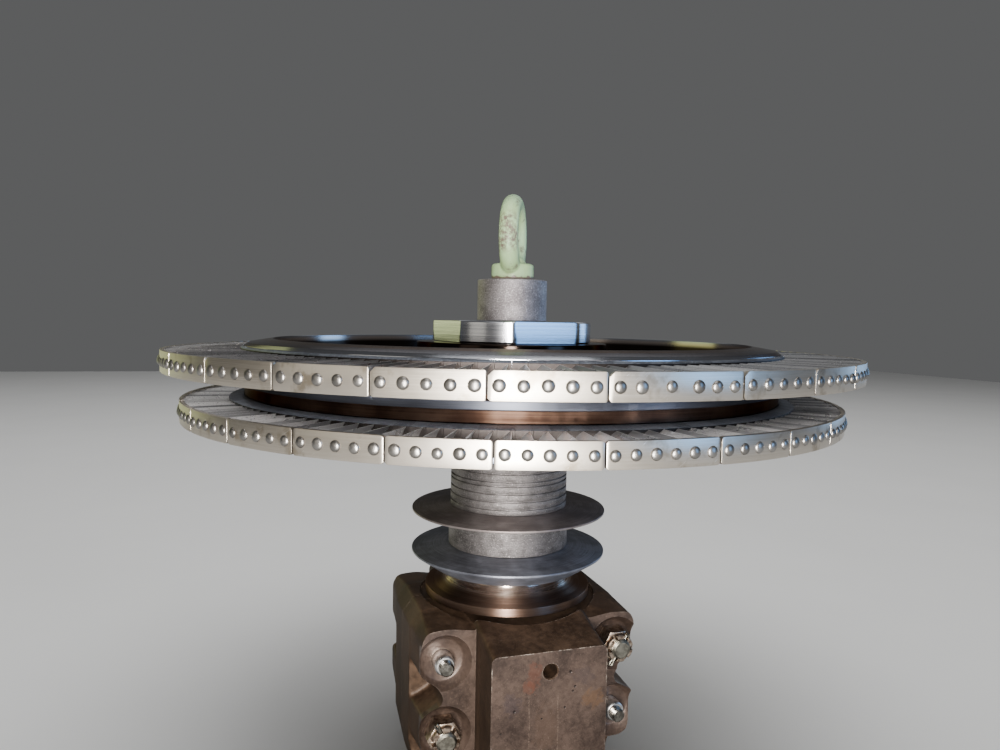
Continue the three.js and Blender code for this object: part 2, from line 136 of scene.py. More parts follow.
CASTLE_NUT = Sizes(flats=30, front=95, crown=14, crown_front=101, slot=5, slot_depth=6, slot_reach=60)
SPLIT_PIN = Sizes(radius=1.2, rise=0.3, turns={"upper_right": 60, "lower_left": -60})
CAST = Sizes(voxel=1.8, smoothing=10, spare=7)
FAR = 400

LUG_HIGH = BLOCK.middle + LUG.z
LUG_LOW = BLOCK.middle - LUG.z
DOWELS = {"upper_left": (-LUG.x, LUG_HIGH), "lower_right": (LUG.x, LUG_LOW)}
STUDS = {"upper_right": (LUG.x, LUG_HIGH), "lower_left": (-LUG.x, LUG_LOW)}
FASTENERS = [*DOWELS.values(), *STUDS.values()]

# Marks on the front pad: stains as x, z, half width, half height and colour, pits as x, z and radius

PAD_STAINS = [
    (-16, 144, 7, 15, (0.105, 0.036, 0.020)), (-22, 133, 6, 8, (0.110, 0.040, 0.022)),
    (43, 114, 11, 9, (0.120, 0.062, 0.028)), (-38, 118, 9, 12, (0.030, 0.022, 0.026)),
    (34, 138, 12, 10, (0.042, 0.030, 0.028)), (-4, 90, 14, 26, (0.062, 0.037, 0.024)),
]
PAD_PITS = [
    (20, 143, 1.5), (25, 128, 1.3), (-35, 111.5, 1.5), (23, 124, 1), (15, 109, 1.2),
    (-8, 101, 0.9), (-48, 92, 1),
]
PAD_TOOL_MARKS = [-20.6, 8]


# Mesh helpers

def add_object(name, data):
    piece = bpy.data.objects.new(name, data)
    bpy.context.scene.collection.objects.link(piece)
    return piece


def remove_object(piece):
    mesh = piece.data
    bpy.data.objects.remove(piece)
    bpy.data.meshes.remove(mesh)


def new_piece(name, points, faces):
    """A new object from points in millimetres."""
    mesh = bpy.data.meshes.new(name)
    mesh.from_pydata([tuple(value * MM for value in point) for point in points], [], faces)
    mesh.validate()
    return add_object(name, mesh)


def edited(piece, change):
    """Puts the piece's mesh through a change of its bmesh."""
    body = bmesh.new()
    body.from_mesh(piece.data)
    change(body)
    body.to_mesh(piece.data)
    body.free()
    return piece


def outward(piece):
    """Turns every face of a closed body outward."""
    return edited(piece, lambda body: bmesh.ops.recalc_face_normals(body, faces=body.faces))


def merge_axis(piece):
    """Joins the points of a turned body that lie on its axis."""
    return edited(piece, lambda body: bmesh.ops.remove_doubles(body, verts=body.verts, dist=1e-6))


def hull(name, points):
    """The tightest convex body round some points."""
    body = bmesh.new()
    for point in points:
        body.verts.new(Vector(point) * MM)
    bmesh.ops.convex_hull(body, input=body.verts)
    mesh = bpy.data.meshes.new(name)
    body.to_mesh(mesh)
    body.free()
    return outward(add_object(name, mesh))


def joined(name, pieces):
    """Several pieces as one object, each with its own shell."""
    body = bmesh.new()
    for piece in pieces:
        body.from_mesh(piece.data)
        remove_object(piece)
    mesh = bpy.data.meshes.new(name)
    body.to_mesh(mesh)
    body.free()
    return add_object(name, mesh)


def add_modifier(piece, kind, **settings):
    modifier = piece.modifiers.new(kind.lower(), kind)
    for name, value in settings.items():
        setattr(modifier, name, value)


def applied(piece):
    """Turns a piece's modifiers into plain mesh."""
    graph = bpy.context.evaluated_depsgraph_get()
    mesh = bpy.data.meshes.new_from_object(piece.evaluated_get(graph))
    old = piece.data
    piece.modifiers.clear()
    piece.data = mesh
    mesh.name = old.name
    bpy.data.meshes.remove(old)
    return piece


def boolean(piece, other, operation="DIFFERENCE"):
    add_modifier(piece, "BOOLEAN", operation=operation, solver="MANIFOLD", object=other)
    applied(piece)
    remove_object(other)
    return piece


def bevelled(piece, width, segments=2, angle=40):
    add_modifier(piece, "BEVEL", width=width * MM, segments=segments, limit_method="ANGLE",
                 angle_limit=math.radians(angle), use_clamp_overlap=True)
    return applied(piece)


def remeshed(piece, voxel, smoothing):
    """One skin over all the shells of a piece, with its edges worn round."""
    add_modifier(piece, "REMESH", mode="VOXEL", voxel_size=voxel * MM)
    add_modifier(piece, "SMOOTH", factor=0.5, iterations=smoothing)
    return applied(piece)


def dress(piece, material, body, nodes=(), sharp=32):
    """Shading, finish, body and CAD node of a finished piece."""
    if not any(piece.data.materials):
        piece.data.materials.clear()
        piece.data.materials.append(material)
    piece.data.shade_smooth()
    piece.data.set_sharp_from_angle(angle=math.radians(sharp))
    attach(piece, body)
    if nodes:
        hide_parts(*nodes)
    return piece


# Shape helpers

def full_turn(steps):
    """Angles of a number of equal steps round a circle."""
    return [2 * math.pi * i / steps for i in range(steps)]


def directions(angle):
    """Unit vectors outward at an angle and along the turn."""
    out = Vector((math.cos(angle), math.sin(angle), 0))
    return out, Vector((-out.y, out.x, 0))


def around(radius, angle, height):
    """A point of the rotor from its radius, angle in the row frame and height."""
    return (radius * math.cos(angle), radius * math.sin(angle), SHROUD_TOP + height)


def row_angle(angle):
    return math.radians(angle + ROW_TURN)


def across_y(x, z, depth):
    """Lifts an outline in X and Z to a depth along Y."""
    return (x, depth, z)


def upright(x, y, height):
    """Lifts an outline in X and Y to a height."""
    return (x, y, height)


def rounded(corners, steps=4):
    """An outline whose corners, given as (x, y) or (x, y, fillet), are rounded off."""
    outline = []
    for i, corner in enumerate(corners):
        here = Vector(corner[:2])
        fillet = corner[2] if len(corner) > 2 else 0
        if not fillet:
            outline.append(tuple(here))
            continue
        before = (Vector(corners[i - 1][:2]) - here).normalized()
        after = (Vector(corners[(i + 1) % len(corners)][:2]) - here).normalized()
        half = before.angle(after) / 2
        centre = here + (before + after).normalized() * fillet / math.sin(half)
        reach = fillet / math.tan(half)
        start = here + before * reach - centre
        end = here + after * reach - centre
        first = math.atan2(start.y, start.x)
        sweep = (math.atan2(end.y, end.x) - first + math.pi) % (2 * math.pi) - math.pi
        for k in range(steps + 1):
            angle = first + sweep * k / steps
            outline.append((centre.x + fillet * math.cos(angle), centre.y + fillet * math.sin(angle)))
    return outline


def grid_faces(columns, rows, closed):
    """Quads of a grid that closes along its rows, and along its columns too where asked."""
    faces = []
    for column in range(columns if closed else columns - 1):
        here = column * rows
        there = (column + 1) % columns * rows
        for row in range(rows):
            above = (row + 1) % rows
            faces.append((here + row, there + row, there + above, here + above))
    return faces


def revolved(name, profile, steps, place):
    """A body turned about a line. The profile is (radius, along). place puts (x, y, along) in the frame."""
    points = []
    for angle in full_turn(steps):
        points += [place(r * math.cos(angle), r * math.sin(angle), along) for r, along in profile]
    return new_piece(name, points, grid_faces(steps, len(profile), closed=True))


def lathe(name, profile, steps):
    """A body turned about the rotor's axis. The profile runs up the outside and down the inside."""
    piece = revolved(name, profile, steps, lambda x, y, height: (x, y, SHROUD_TOP + height))
    on_axis = profile[0][0] == 0
    return outward(merge_axis(piece)) if on_axis else piece


def turned_along_y(name, profile, x, z, steps=40):
    """A body turned about a line along Y. The profile is (radius, y) and starts and ends on the line."""
    return outward(merge_axis(revolved(name, profile, steps, lambda a, b, y: (x + a, y, z + b))))


def prism(name, outline, low, high, lift):
    """A straight body over an outline. lift turns (x, y, depth) into a point of the row frame."""
    count = len(outline)
    points = [lift(x, y, low) for x, y in outline] + [lift(x, y, high) for x, y in outline]
    faces = [tuple(range(count)), tuple(reversed(range(count, 2 * count)))]
    for i in range(count):
        j = (i + 1) % count
        faces.append((i, i + count, j + count, j))
    return outward(new_piece(name, points, faces))


def box(name, low, high):
    outline = [(low[0], low[2]), (high[0], low[2]), (high[0], high[2]), (low[0], high[2])]
    return prism(name, outline, low[1], high[1], across_y)


def circle(radius, steps, x=0, y=0):
    return [(x + radius * math.cos(a), y + radius * math.sin(a)) for a in full_turn(steps)]


def bar_along_y(name, radius, front, back, x, z, steps=48):
    return prism(name, circle(radius, steps, x, z), front, back, across_y)


def threaded_bar(name, radius, depth, pitch, tip, back, x, z, steps=36, rows=6, chamfer=2):
    """A screw thread along Y with a chamfered tip. rows is how many rings of points make one pitch."""
    crest, flank, tip_slope = 1.35, 4, 1.2
    count = int((back - tip) / pitch * rows)
    points = []
    for row in range(count + 1):
        y = tip + pitch * row / rows
        fade = min(1, (y - tip) / chamfer)
        for step, angle in enumerate(full_turn(steps)):
            phase = (row / rows + step / steps) % 1
            valley = depth * min(1, max(0, crest - abs(phase - 0.5) * flank))
            r = min(radius - chamfer * tip_slope * (1 - fade), radius - valley)
            points.append((x + r * math.cos(angle), y, z + r * math.sin(angle)))
    faces = grid_faces(count + 1, steps, closed=False)
    faces.append(tuple(range(steps)))
    faces.append(tuple(range(count * steps, (count + 1) * steps)))
    return outward(new_piece(name, points, faces))


class Shells:
    """Many small bodies in one mesh, with numbers for each face that the material reads by their names."""

    def __init__(self):
        self.points = []
        self.faces = []
        self.numbers = {}

    def add(self, points, faces, **numbers):
        """Each number is one for the whole shell, or a list with one for each of its faces."""
        first = len(self.points)
        self.points += points
        self.faces += [tuple(first + k for k in face) for face in faces]
        for name, value in numbers.items():
            values = value if isinstance(value, list) else [value] * len(faces)
            self.numbers.setdefault(name, []).extend(values)

    def piece(self, name):
        piece = new_piece(name, self.points, self.faces)
        for layer, values in self.numbers.items():
            piece.data.attributes.new(layer, "FLOAT", "FACE").data.foreach_set("value", values)
        return outward(piece)


# Material helpers

def rgba(colour):
    return (*colour, 1)


class Value:
    """A number or colour that a material works out point by point. It takes ordinary arithmetic."""

    def __init__(self, look, socket):
        self.look = look
        self.socket = socket

    def __add__(self, other):
        return self.look.math("ADD", self, other)

    __radd__ = __add__

    def __sub__(self, other):
        return self.look.math("SUBTRACT", self, other)

    def __rsub__(self, other):
        return self.look.math("SUBTRACT", other, self)

    def __mul__(self, other):
        return self.look.math("MULTIPLY", self, other)

    def __truediv__(self, other):
        return self.look.math("DIVIDE", self, other)

    def __rtruediv__(self, other):
        return self.look.math("DIVIDE", other, self)

    def ease(self, low, high, start=0, end=1):
        """Goes smoothly from start to end as this value goes from low to high."""
        inputs = (self, low, high, start, end)
        return self.look.node("MapRange", inputs, interpolation_type="SMOOTHSTEP")

    def mix(self, first, second):
        """The first colour where this value is 0, the second where it is 1."""
        return self.look.node("Mix", {0: self, 6: first, 7: second}, 2, data_type="RGBA")

    def grey(self, first, second):
        return self.mix((first,) * 3, (second,) * 3)


class Look:
    """A node material in the making. Its coordinates are the piece's own, in metres."""

    def __init__(self, name, constants):
        self.material = bpy.data.materials.new(name)
        self.material.use_nodes = True
        self.nodes = self.material.node_tree.nodes
        self.links = self.material.node_tree.links
        self.nodes.clear()
        self.shader = self.nodes.new("ShaderNodeBsdfPrincipled")
        output = self.nodes.new("ShaderNodeOutputMaterial")
        self.links.new(self.shader.outputs["BSDF"], output.inputs["Surface"])
        self.spot = self.node("TexCoord", output="Object")
        self.set(constants)

    def feed(self, socket, value):
        if value is None:
            return
        if isinstance(value, Value):
            self.links.new(value.socket, socket)
        else:
            socket.default_value = rgba(value) if socket.type == "RGBA" else value

    def set(self, inputs):
        for name, value in inputs.items():
            self.feed(self.shader.inputs[name], value)

    def finish(self, colour, roughness=None, normal=None):
        self.set({"Base Color": colour, "Roughness": roughness, "Normal": normal})
        return self.material

    def turned_gloss(self, amount):
        """Stretches the highlights across lines that run round the vertical axis."""
        tangent = self.node("Tangent", direction_type="RADIAL", axis="Z")
        self.set({"Anisotropic": amount, "Anisotropic Rotation": 0.25, "Tangent": tangent})

    def node(self, kind, inputs=(), output=0, **settings):
        """A node with its settings, and its inputs in their order or by name or number."""
        node = self.nodes.new("ShaderNode" + kind)
        for name, value in settings.items():
            setattr(node, name, value)
        by_key = inputs if isinstance(inputs, dict) else dict(enumerate(inputs))
        for key, value in by_key.items():
            self.feed(node.inputs[key], value)
        return Value(self, node.outputs[output])

    def math(self, operation, *values, clamp=False):
        return self.node("Math", values, operation=operation, use_clamp=clamp)

    def measure(self, operation, *vectors):
        """A length or dot product of vectors."""
        return self.node("VectorMath", vectors, "Value", operation=operation)

    def split(self, vector):
        node = self.node("SeparateXYZ", [vector]).socket.node
        return [Value(self, socket) for socket in node.outputs]

    def combine(self, x, y, z):
        return self.node("CombineXYZ", (x, y, z))

    def normal(self):
        return self.node("NewGeometry", output="Normal")

    def attribute(self, name):
        return self.node("Attribute", output="Fac", attribute_name=name)

    def noise(self, scale, detail=3, roughness=0.55, place=None):
        vector = self.spot if place is None else place
        inputs = {"Vector": vector, "Scale": scale, "Detail": detail, "Roughness": roughness}
        return self.node("TexNoise", inputs)

    def radius(self):
        """Millimetres from the rotor's axis."""
        x, y, _ = self.split(self.spot)
        return self.math("SQRT", x * x + y * y) / MM

    def height(self):
        """Millimetres above the block's underside."""
        return self.split(self.spot)[2] / MM

    def turned_lines(self, around_scale, across_scale, detail=5, roughness=0.75):
        """Lines round the rotor's axis: slow along the turn and fast across it."""
        x, y, _ = self.split(self.spot)
        radius = self.radius()
        slow = (around_scale / MM) / self.math("MAXIMUM", radius, 0.1)
        place = self.combine(x * slow, y * slow, (radius + self.height()) * across_scale)
        return self.noise(1, detail, roughness, place)

    def level_lines(self, along_scale, across_scale, detail=5, roughness=0.75):
        """Level lines: slow along them and fast with height."""
        x, y, _ = self.split(self.spot)
        place = self.combine(x * along_scale, y * along_scale, self.height() * across_scale)
        return self.noise(1, detail, roughness, place)

    def blot(self, x, z, width, height, ragged):
        """A ragged spot on the block's front, at x and z in millimetres."""
        along, _, up = self.split(self.spot)
        across = (along - x * MM) / (width * MM)
        over = (up - z * MM) / (height * MM)
        wave = (self.noise(160, 4, 0.65) - 0.5) * (ragged * 2)
        return (self.measure("LENGTH", self.combine(across, over, 0)) + wave).ease(0.55, 1.15, 1, 0)

    def edges(self, width, low=0.02, high=0.3):
        """A mask of the edges of a piece, by how far a rounded edge of that width turns the surface."""
        bevel = self.node("Bevel", {"Radius": width * MM}, samples=6)
        return (1 - self.measure("DOT_PRODUCT", bevel, self.normal())).ease(low, high)

    def occlusion_shade(self, distance, low=0.35, high=0.95):
        """A mask of corners and recesses that open light reaches less, used to paint shade into a colour."""
        open_sky = self.node("AmbientOcclusion", {"Distance": distance * MM}, "AO", samples=8)
        return open_sky.ease(low, high, 1, 0)

    def bump(self, height, depth, below=None):
        """A bump as deep as depth, in millimetres."""
        return self.node("Bump", {"Strength": 1, "Distance": depth * MM, "Height": height, "Normal": below})


# Materials

def mint_paint():
    """Gloss paint, rubbed off the front of the ring and along the collar's foot. Its places are in metres."""
    look = Look("mint_paint", {"Specular IOR Level": 0.45, "Coat Weight": 0.15, "Coat Roughness": 0.3})
    blotches = look.noise(70, 4, 0.6)
    height = look.split(look.spot)[2] - (SHROUD_TOP + EYE.seat) * MM
    ring_side, _ = directions(math.radians(EYE.turn + PARKED_TURN))
    out = look.measure("DOT_PRODUCT", look.spot, tuple(-ring_side))
    rubbed = out.ease(0.030, 0.042) * height.ease(0.022, 0.034) * height.ease(0.060, 0.076, 1, 0)
    worn = blotches.ease(0.56, 0.68) + look.edges(2.5, 0.12, 0.5) + rubbed * blotches.ease(0.30, 0.52)
    worn = look.math("MULTIPLY", worn, look.noise(240, 4, 0.7).ease(0.34, 0.62), clamp=True)
    foot = height - look.noise(170, 2) * 0.009
    worn = look.math("MAXIMUM", worn, foot.ease(-0.0022, -0.0014, 1, 0))
    paint = look.noise(25, 3).mix((0.31, 0.41, 0.15), (0.40, 0.62, 0.40))
    # Painted shade: the paint is darkened where the ring and collar shut out light.
    shaded_paint = look.occlusion_shade(9).mix(paint, (0.16, 0.17, 0.09))
    colour = worn.mix(shaded_paint, (0.150, 0.115, 0.088))
    skin = look.bump(look.noise(900, 3), 0.12)
    skin = look.bump(1 - worn, 0.35, skin)
    return look.finish(colour, look.noise(120, 3).grey(0.38, 0.62), skin)


def rough_steel(name, dark, light, roughness, grain, lines, share):
    """Turned or sawn steel with a dull, sparkling grain. share is how strongly its turning lines show."""
    look = Look(name, {"Metallic": 0.95})
    cloud_share = 0.4
    cloud = look.noise(60, 4, 0.6)
    grit = look.noise(750, 3, 0.7)
    line = look.turned_lines(7, lines, 4, 0.7)
    tone = cloud * cloud_share + line * share + grit * (1 - cloud_share - share)
    colour = tone.ease(0.36, 0.64).mix(dark, light)
    colour = grit.ease(0.60, 0.70).mix(colour, tuple(min(1, 1.8 * c) for c in light))
    skin = look.bump(line, 0.12 * share)
    skin = look.bump(grit, grain, skin)
    return look.finish(colour, grit.grey(roughness + 0.12, roughness - 0.16), skin)


def polished_steel(name, dark, light, roughness, brushed, lines=2.2):
    """Ground steel with fine level lines. brushed is how much its highlights stretch."""
    look = Look(name, {"Metallic": 1})
    look.turned_gloss(brushed)
    line = look.level_lines(12, lines)
    ring = look.level_lines(6, lines / 4, 2, 0.5)
    colour = (ring + line).ease(0.75, 1.25).mix(dark, light)
    skin = look.bump(line, 0.012)
    skin = look.bump(ring, 0.03, skin)
    return look.finish(colour, (ring * line).grey(roughness, roughness + 0.2), skin)


def collar_steel():
    """A neck painted brown with cream rings, the painted reflection and painted highlights of its fine
    polished rings, and a duller shelf and rim painted darker as painted shade.
    """
    look = Look("collar_steel", {"Metallic": 1, "Specular Tint": (0.55, 0.48, 0.44)})
    look.turned_gloss(0.85)
    line = look.turned_lines(2, 3.4)
    stripes = line.ease(0.3, 0.7)
    # Painted reflection and painted highlights: a brown neck with cream rings.
    neck = stripes.mix((0.34, 0.195, 0.125), (0.96, 0.84, 0.72))
    # Painted shade: the shelf and rim are painted darker brown.
    shelf = stripes.mix((0.125, 0.070, 0.047), (0.235, 0.165, 0.128))
    outside = look.radius().ease(COLLAR.neck + 4, COLLAR.flare + 5)
    rough = outside.mix(line.grey(0.20, 0.30), line.grey(0.34, 0.46))
    return look.finish(outside.mix(neck, shelf), rough, look.bump(line, 0.02))


def disc_steel():
    """The wheel's body, one steel painted by zones with light and shade: painted shade in the dark dish and
    underside, painted reflections in the brown top face, the darker blue-grey shoulder and the dark brown
    waist, and painted highlights on the bright lips.
    """
    look = Look("disc_steel", {"Metallic": 1, "Specular Tint": (0.40, 0.36, 0.34)})
    look.turned_gloss(0.75)
    radius = look.radius()
    height = look.height()
    line = look.turned_lines(2, 1.8)
    cloud = look.noise(30, 4, 0.6)
    # Painted highlight: the colour of the lips and the outer top face.
    bright = line.mix((0.26, 0.27, 0.30), (0.60, 0.61, 0.65))
    # Painted reflection: the shoulder is painted dark blue-grey, dark enough to tone down its highlight.
    shoulder = line.mix((0.045, 0.050, 0.063), (0.125, 0.132, 0.158))
    # Painted reflection: the inner top face is painted brown.
    brown = line.mix((0.28, 0.225, 0.20), (0.64, 0.55, 0.50))
    # Painted shade in the dish and under the web.
    dish = cloud.mix((0.012, 0.008, 0.007), (0.040, 0.030, 0.024))
    # Painted reflection: the waist is painted near black brown.
    waist = (line + cloud).ease(0.8, 1.2).mix((0.024, 0.0125, 0.0085), (0.076, 0.046, 0.032))
    # Painted highlight: a thin bright ring on the inner lip.
    inner_lip = radius.ease(244.9, 245.5) * radius.ease(246.6, 247.2, 1, 0)
    top_face = inner_lip.mix(radius.ease(256, 257.5).mix(brown, bright), bright)
    top_side = radius.ease(244.0, 245.0).mix(dish, top_face)
    body = radius.ease(273.4, 274.4).mix(waist, shoulder)
    body = radius.ease(262.0, 264.0).mix(dish, body)
    colour = height.ease(432, 436).mix(body, top_side)
    in_waist = height.ease(396, 398) * height.ease(424, 426, 1, 0)
    rough = in_waist.mix((cloud * line).grey(0.14, 0.36), (0.44,) * 3)
    return look.finish(colour, rough, look.bump(line, 0.012))


def blade_steel(name, tone, metallic, root_radius):
    """Ground blades, each of its own shade, on duller platforms painted blue-grey as a painted reflection,
    with painted shade deep in the passages and in the corners, and each blade's upper edge painted near white
    as a painted highlight. tone scales the row's brightness, a painted light level.
    """
    look = Look(name, {"Metallic": metallic, "Specular Tint": (0.62, 0.62, 0.63)})
    cloud = look.noise(60, 4, 0.6)
    fine = look.noise(700, 3)
    shade = look.attribute("shade")
    root = look.attribute("root")

    def toned(*colour):
        return tuple(min(tone * c, 0.95) for c in colour)

    blade = shade.mix(toned(0.19, 0.19, 0.195), toned(0.66, 0.645, 0.64))
    blade = fine.ease(0.55, 0.75).mix(blade, toned(0.22, 0.205, 0.20))
    # Painted reflection: the platforms are painted blue-grey.
    platform = shade.mix(toned(0.12, 0.13, 0.155), toned(0.22, 0.24, 0.28))
    platform = fine.ease(0.5, 0.7).mix(platform, toned(0.32, 0.34, 0.39))
    # Painted shade: the platform floor between the blades, deep in the passages, is painted near black.
    deep = look.radius().ease(root_radius - 0.5, root_radius - 0.2)
    platform = deep.mix(platform, (0.012, 0.010, 0.009))
    colour = root.mix(blade, platform)
    # Painted shade in the corners between blades and platforms.
    colour = look.occlusion_shade(5, 0.10, 0.60).mix(colour, (0.030, 0.026, 0.023))
    # Painted highlight: each blade's upper edge face is painted near white.
    colour = look.attribute("edge").mix(colour, (0.92, 0.91, 0.89))
    rough = root.mix(cloud.grey(0.22, 0.36), fine.grey(0.30, 0.46))
    return look.finish(colour, rough, look.bump(fine, 0.012))


def shroud_steel():
    """Satin shroud segments, each of its own shade, with crossing scratches and painted shade beside the
    rivets.
    """
    look = Look("shroud_steel", {"Metallic": 1, "Specular Tint": (0.75, 0.75, 0.75)})
    cloud = look.noise(40, 4, 0.6)
    line = look.turned_lines(6, 2.4, 4, 0.7)
    x, y, z = look.split(look.spot)
    along_scale, across_scale = 60, 1800
    slanted = look.combine((x + z * 1.5) * along_scale, y * along_scale, (z - x * 0.8) * across_scale)
    marks = look.noise(1, 3, 0.6, slanted).ease(0.66, 0.72) * cloud.ease(0.5, 0.6)
    colour = look.attribute("shade").mix((0.44, 0.39, 0.32), (0.57, 0.515, 0.44))
    colour = line.ease(0.35, 0.7).mix(colour, (0.58, 0.53, 0.46))
    colour = cloud.ease(0.54, 0.70).mix(colour, (0.33, 0.28, 0.215))
    colour = marks.mix(colour, (0.85, 0.84, 0.80))
    # Painted shade round the rivet heads.
    colour = look.occlusion_shade(2.6, 0.15, 0.80).mix(colour, (0.09, 0.075, 0.06))
    skin = look.bump(line, 0.02)
    skin = look.bump(marks, 0.02, skin)
    return look.finish(colour, (cloud * line).grey(0.30, 0.52), skin)


def rivet_steel():
    """Hammered tenon heads, painted greyer and darker than the plates round them: painted shade, as their
    domes catch less light.
    """
    look = Look("rivet_steel", {"Metallic": 1, "Specular Tint": (0.7, 0.7, 0.7)})
    fine = look.noise(500, 3, 0.6)
    colour = look.attribute("shade").mix((0.18, 0.17, 0.158), (0.30, 0.287, 0.27))
    # Painted shade at the foot of each head.
    colour = look.occlusion_shade(2.2, 0.15, 0.80).mix(colour, (0.08, 0.07, 0.06))
    return look.finish(colour, fine.grey(0.26, 0.44), look.bump(fine, 0.10))


def rim_worn_steel(name, dark, light, rim, roughness):
    """Dark turned steel whose thin rim is rubbed bright in places."""
    look = Look(name, {"Metallic": 0.9})
    look.turned_gloss(0.5)
    cloud = look.noise(35, 4, 0.6)
    line = look.turned_lines(2, 1.6)
    colour = (cloud + line).ease(0.8, 1.25).mix(dark, light)
    rubbed = look.edges(0.9, 0.05, 0.3) * look.noise(90, 4, 0.7).ease(0.38, 0.6)
    colour = rubbed.mix(colour, rim)
    return look.finish(colour, cloud.grey(roughness - 0.1, roughness + 0.12), look.bump(line, 0.03))


def cast_iron():
    """Oily cast skin: dark brown and sandy, with painted shade darkening the sides, which are also duller,
    and worn bright edges.
    """
    look = Look("cast_iron", {
        "Metallic": 0.25, "Specular IOR Level": 0.3, "Specular Tint": (0.7, 0.62, 0.55),
        "Coat Weight": 0.06, "Coat Roughness": 0.35,
    })
    cloud = look.noise(18, 5, 0.6)
    fine = look.noise(170, 4, 0.65)
    colour = (cloud + fine * 0.5).ease(0.55, 1.0).mix((0.022, 0.0125, 0.0075), (0.075, 0.046, 0.029))
    # Painted shade: faces turned to the sides are painted darker, and are also made duller.
    across, _, _ = look.split(look.normal())
    shaded_sides = look.math("ABSOLUTE", across).ease(0.6, 0.95, 0, 0.6)
    colour = shaded_sides.mix(colour, (0.010, 0.0055, 0.0035))
    worn = look.edges(2.0, 0.08, 0.4) * fine.ease(0.45, 0.62)
    colour = worn.mix(colour, (0.20, 0.16, 0.13))
    rough = shaded_sides.mix(fine.grey(0.38, 0.64), (0.85,) * 3)
    skin = look.bump(look.noise(420, 4, 0.7), 0.25)
    skin = look.bump(cloud, 0.8, skin)
    return look.finish(colour, rough, skin)


def pad_marks(look, colour, on_pad):
    """Stains, pits and tool marks on the front pad. Returns the marked colour and the mask of the pits."""
    for x, z, width, height, stain in PAD_STAINS:
        colour = (look.blot(x, z, width, height, 1.3) * (on_pad * 0.45)).mix(colour, stain)
    pits = 0
    for x, z, size in PAD_PITS:
        pits = pits + look.blot(x, z, size, size, 0.25)
    pits = look.math("MULTIPLY", pits, on_pad, clamp=True)
    colour = pits.mix(colour, (0.012, 0.008, 0.006))
    x, _, z = look.split(look.spot)
    for line in PAD_TOOL_MARKS:
        wander = (look.noise(30, 2) - 0.5) * 0.002
        offset = look.math("ABSOLUTE", x + wander - line * MM)
        mark = offset.ease(0.0003, 0.0009, 1, 0) * z.ease(0.118, 0.128, 1, 0)
        mark = mark * look.noise(700, 3).ease(0.42, 0.6) * 0.35
        colour = (mark * on_pad).mix(colour, (0.22, 0.16, 0.12))
    return colour, pits


def machined_iron():
    """Machined faces of the block: brown, stained, pitted and scratched, with chipped bright edges."""
    look = Look("machined_iron", {"Metallic": 0.55, "Coat Weight": 0.15, "Coat Roughness": 0.3})
    cloud = look.noise(24, 5, 0.62)
    fine = look.noise(260, 4, 0.7)
    _, y, z = look.split(look.spot)
    on_pad = look.math("LESS_THAN", y, -0.13)
    colour = (cloud + fine * 0.5).ease(0.5, 1.0).mix((0.024, 0.0145, 0.0105), (0.086, 0.057, 0.043))
    colour, pits = pad_marks(look, colour, on_pad)
    speck = look.noise(620, 3, 0.75).ease(0.60, 0.70)
    colour = (speck * 0.22).mix(colour, (0.26, 0.19, 0.15))
    chips = look.noise(110, 5, 0.75).ease(0.45, 0.62)
    worn = look.edges(2.8, 0.02, 0.20) * chips * z.ease(0.105, 0.150, 0.25, 1)
    colour = worn.mix(colour, on_pad.mix((0.16, 0.125, 0.10), (0.50, 0.43, 0.36)))
    skin = look.bump(fine, 0.10)
    skin = look.bump(look.noise(900, 3, 0.7), 0.12, skin)
    skin = look.bump(1 - pits, 0.5, skin)
    return look.finish(colour, fine.grey(0.34, 0.56), skin)


def bearing_metal():
    look = Look("bearing_metal", {"Metallic": 0.9})
    cloud = look.noise(60, 4, 0.6)
    colour = cloud.mix((0.30, 0.26, 0.19), (0.55, 0.50, 0.40))
    return look.finish(colour, cloud.grey(0.30, 0.5), look.bump(cloud, 0.05))


def fastener_steel(name, dark, light, rim, roughness):
    """Fasteners with painted shade in their corners and bright worn edges."""
    look = Look(name, {"Metallic": 1, "Specular Tint": (0.7, 0.7, 0.7)})
    cloud = look.noise(220, 4, 0.65)
    colour = cloud.ease(0.35, 0.65).mix(dark, light)
    colour = look.edges(0.7, 0.05, 0.3).mix(colour, rim)
    # Painted shade: the corners are darkened brown.
    colour = look.occlusion_shade(2.5, 0.2, 0.85).mix(colour, (0.10, 0.06, 0.035))
    return look.finish(colour, cloud.grey(roughness - 0.06, roughness + 0.14), look.bump(cloud, 0.03))


MINT = mint_paint()
CAP_STEEL = rough_steel("cap_steel", (0.175, 0.155, 0.158), (0.375, 0.35, 0.352), 0.60, 0.35, 1.2, 0.1)
SLEEVE_STEEL = rough_steel("sleeve_steel", (0.066, 0.060, 0.058), (0.215, 0.200, 0.197), 0.60, 0.30, 2.6, 0.4)
NUT_STEEL = polished_steel("nut_steel", (0.48, 0.49, 0.52), (0.74, 0.74, 0.77), 0.17, 0.3)
COLLAR_STEEL = collar_steel()
DISC_STEEL = disc_steel()
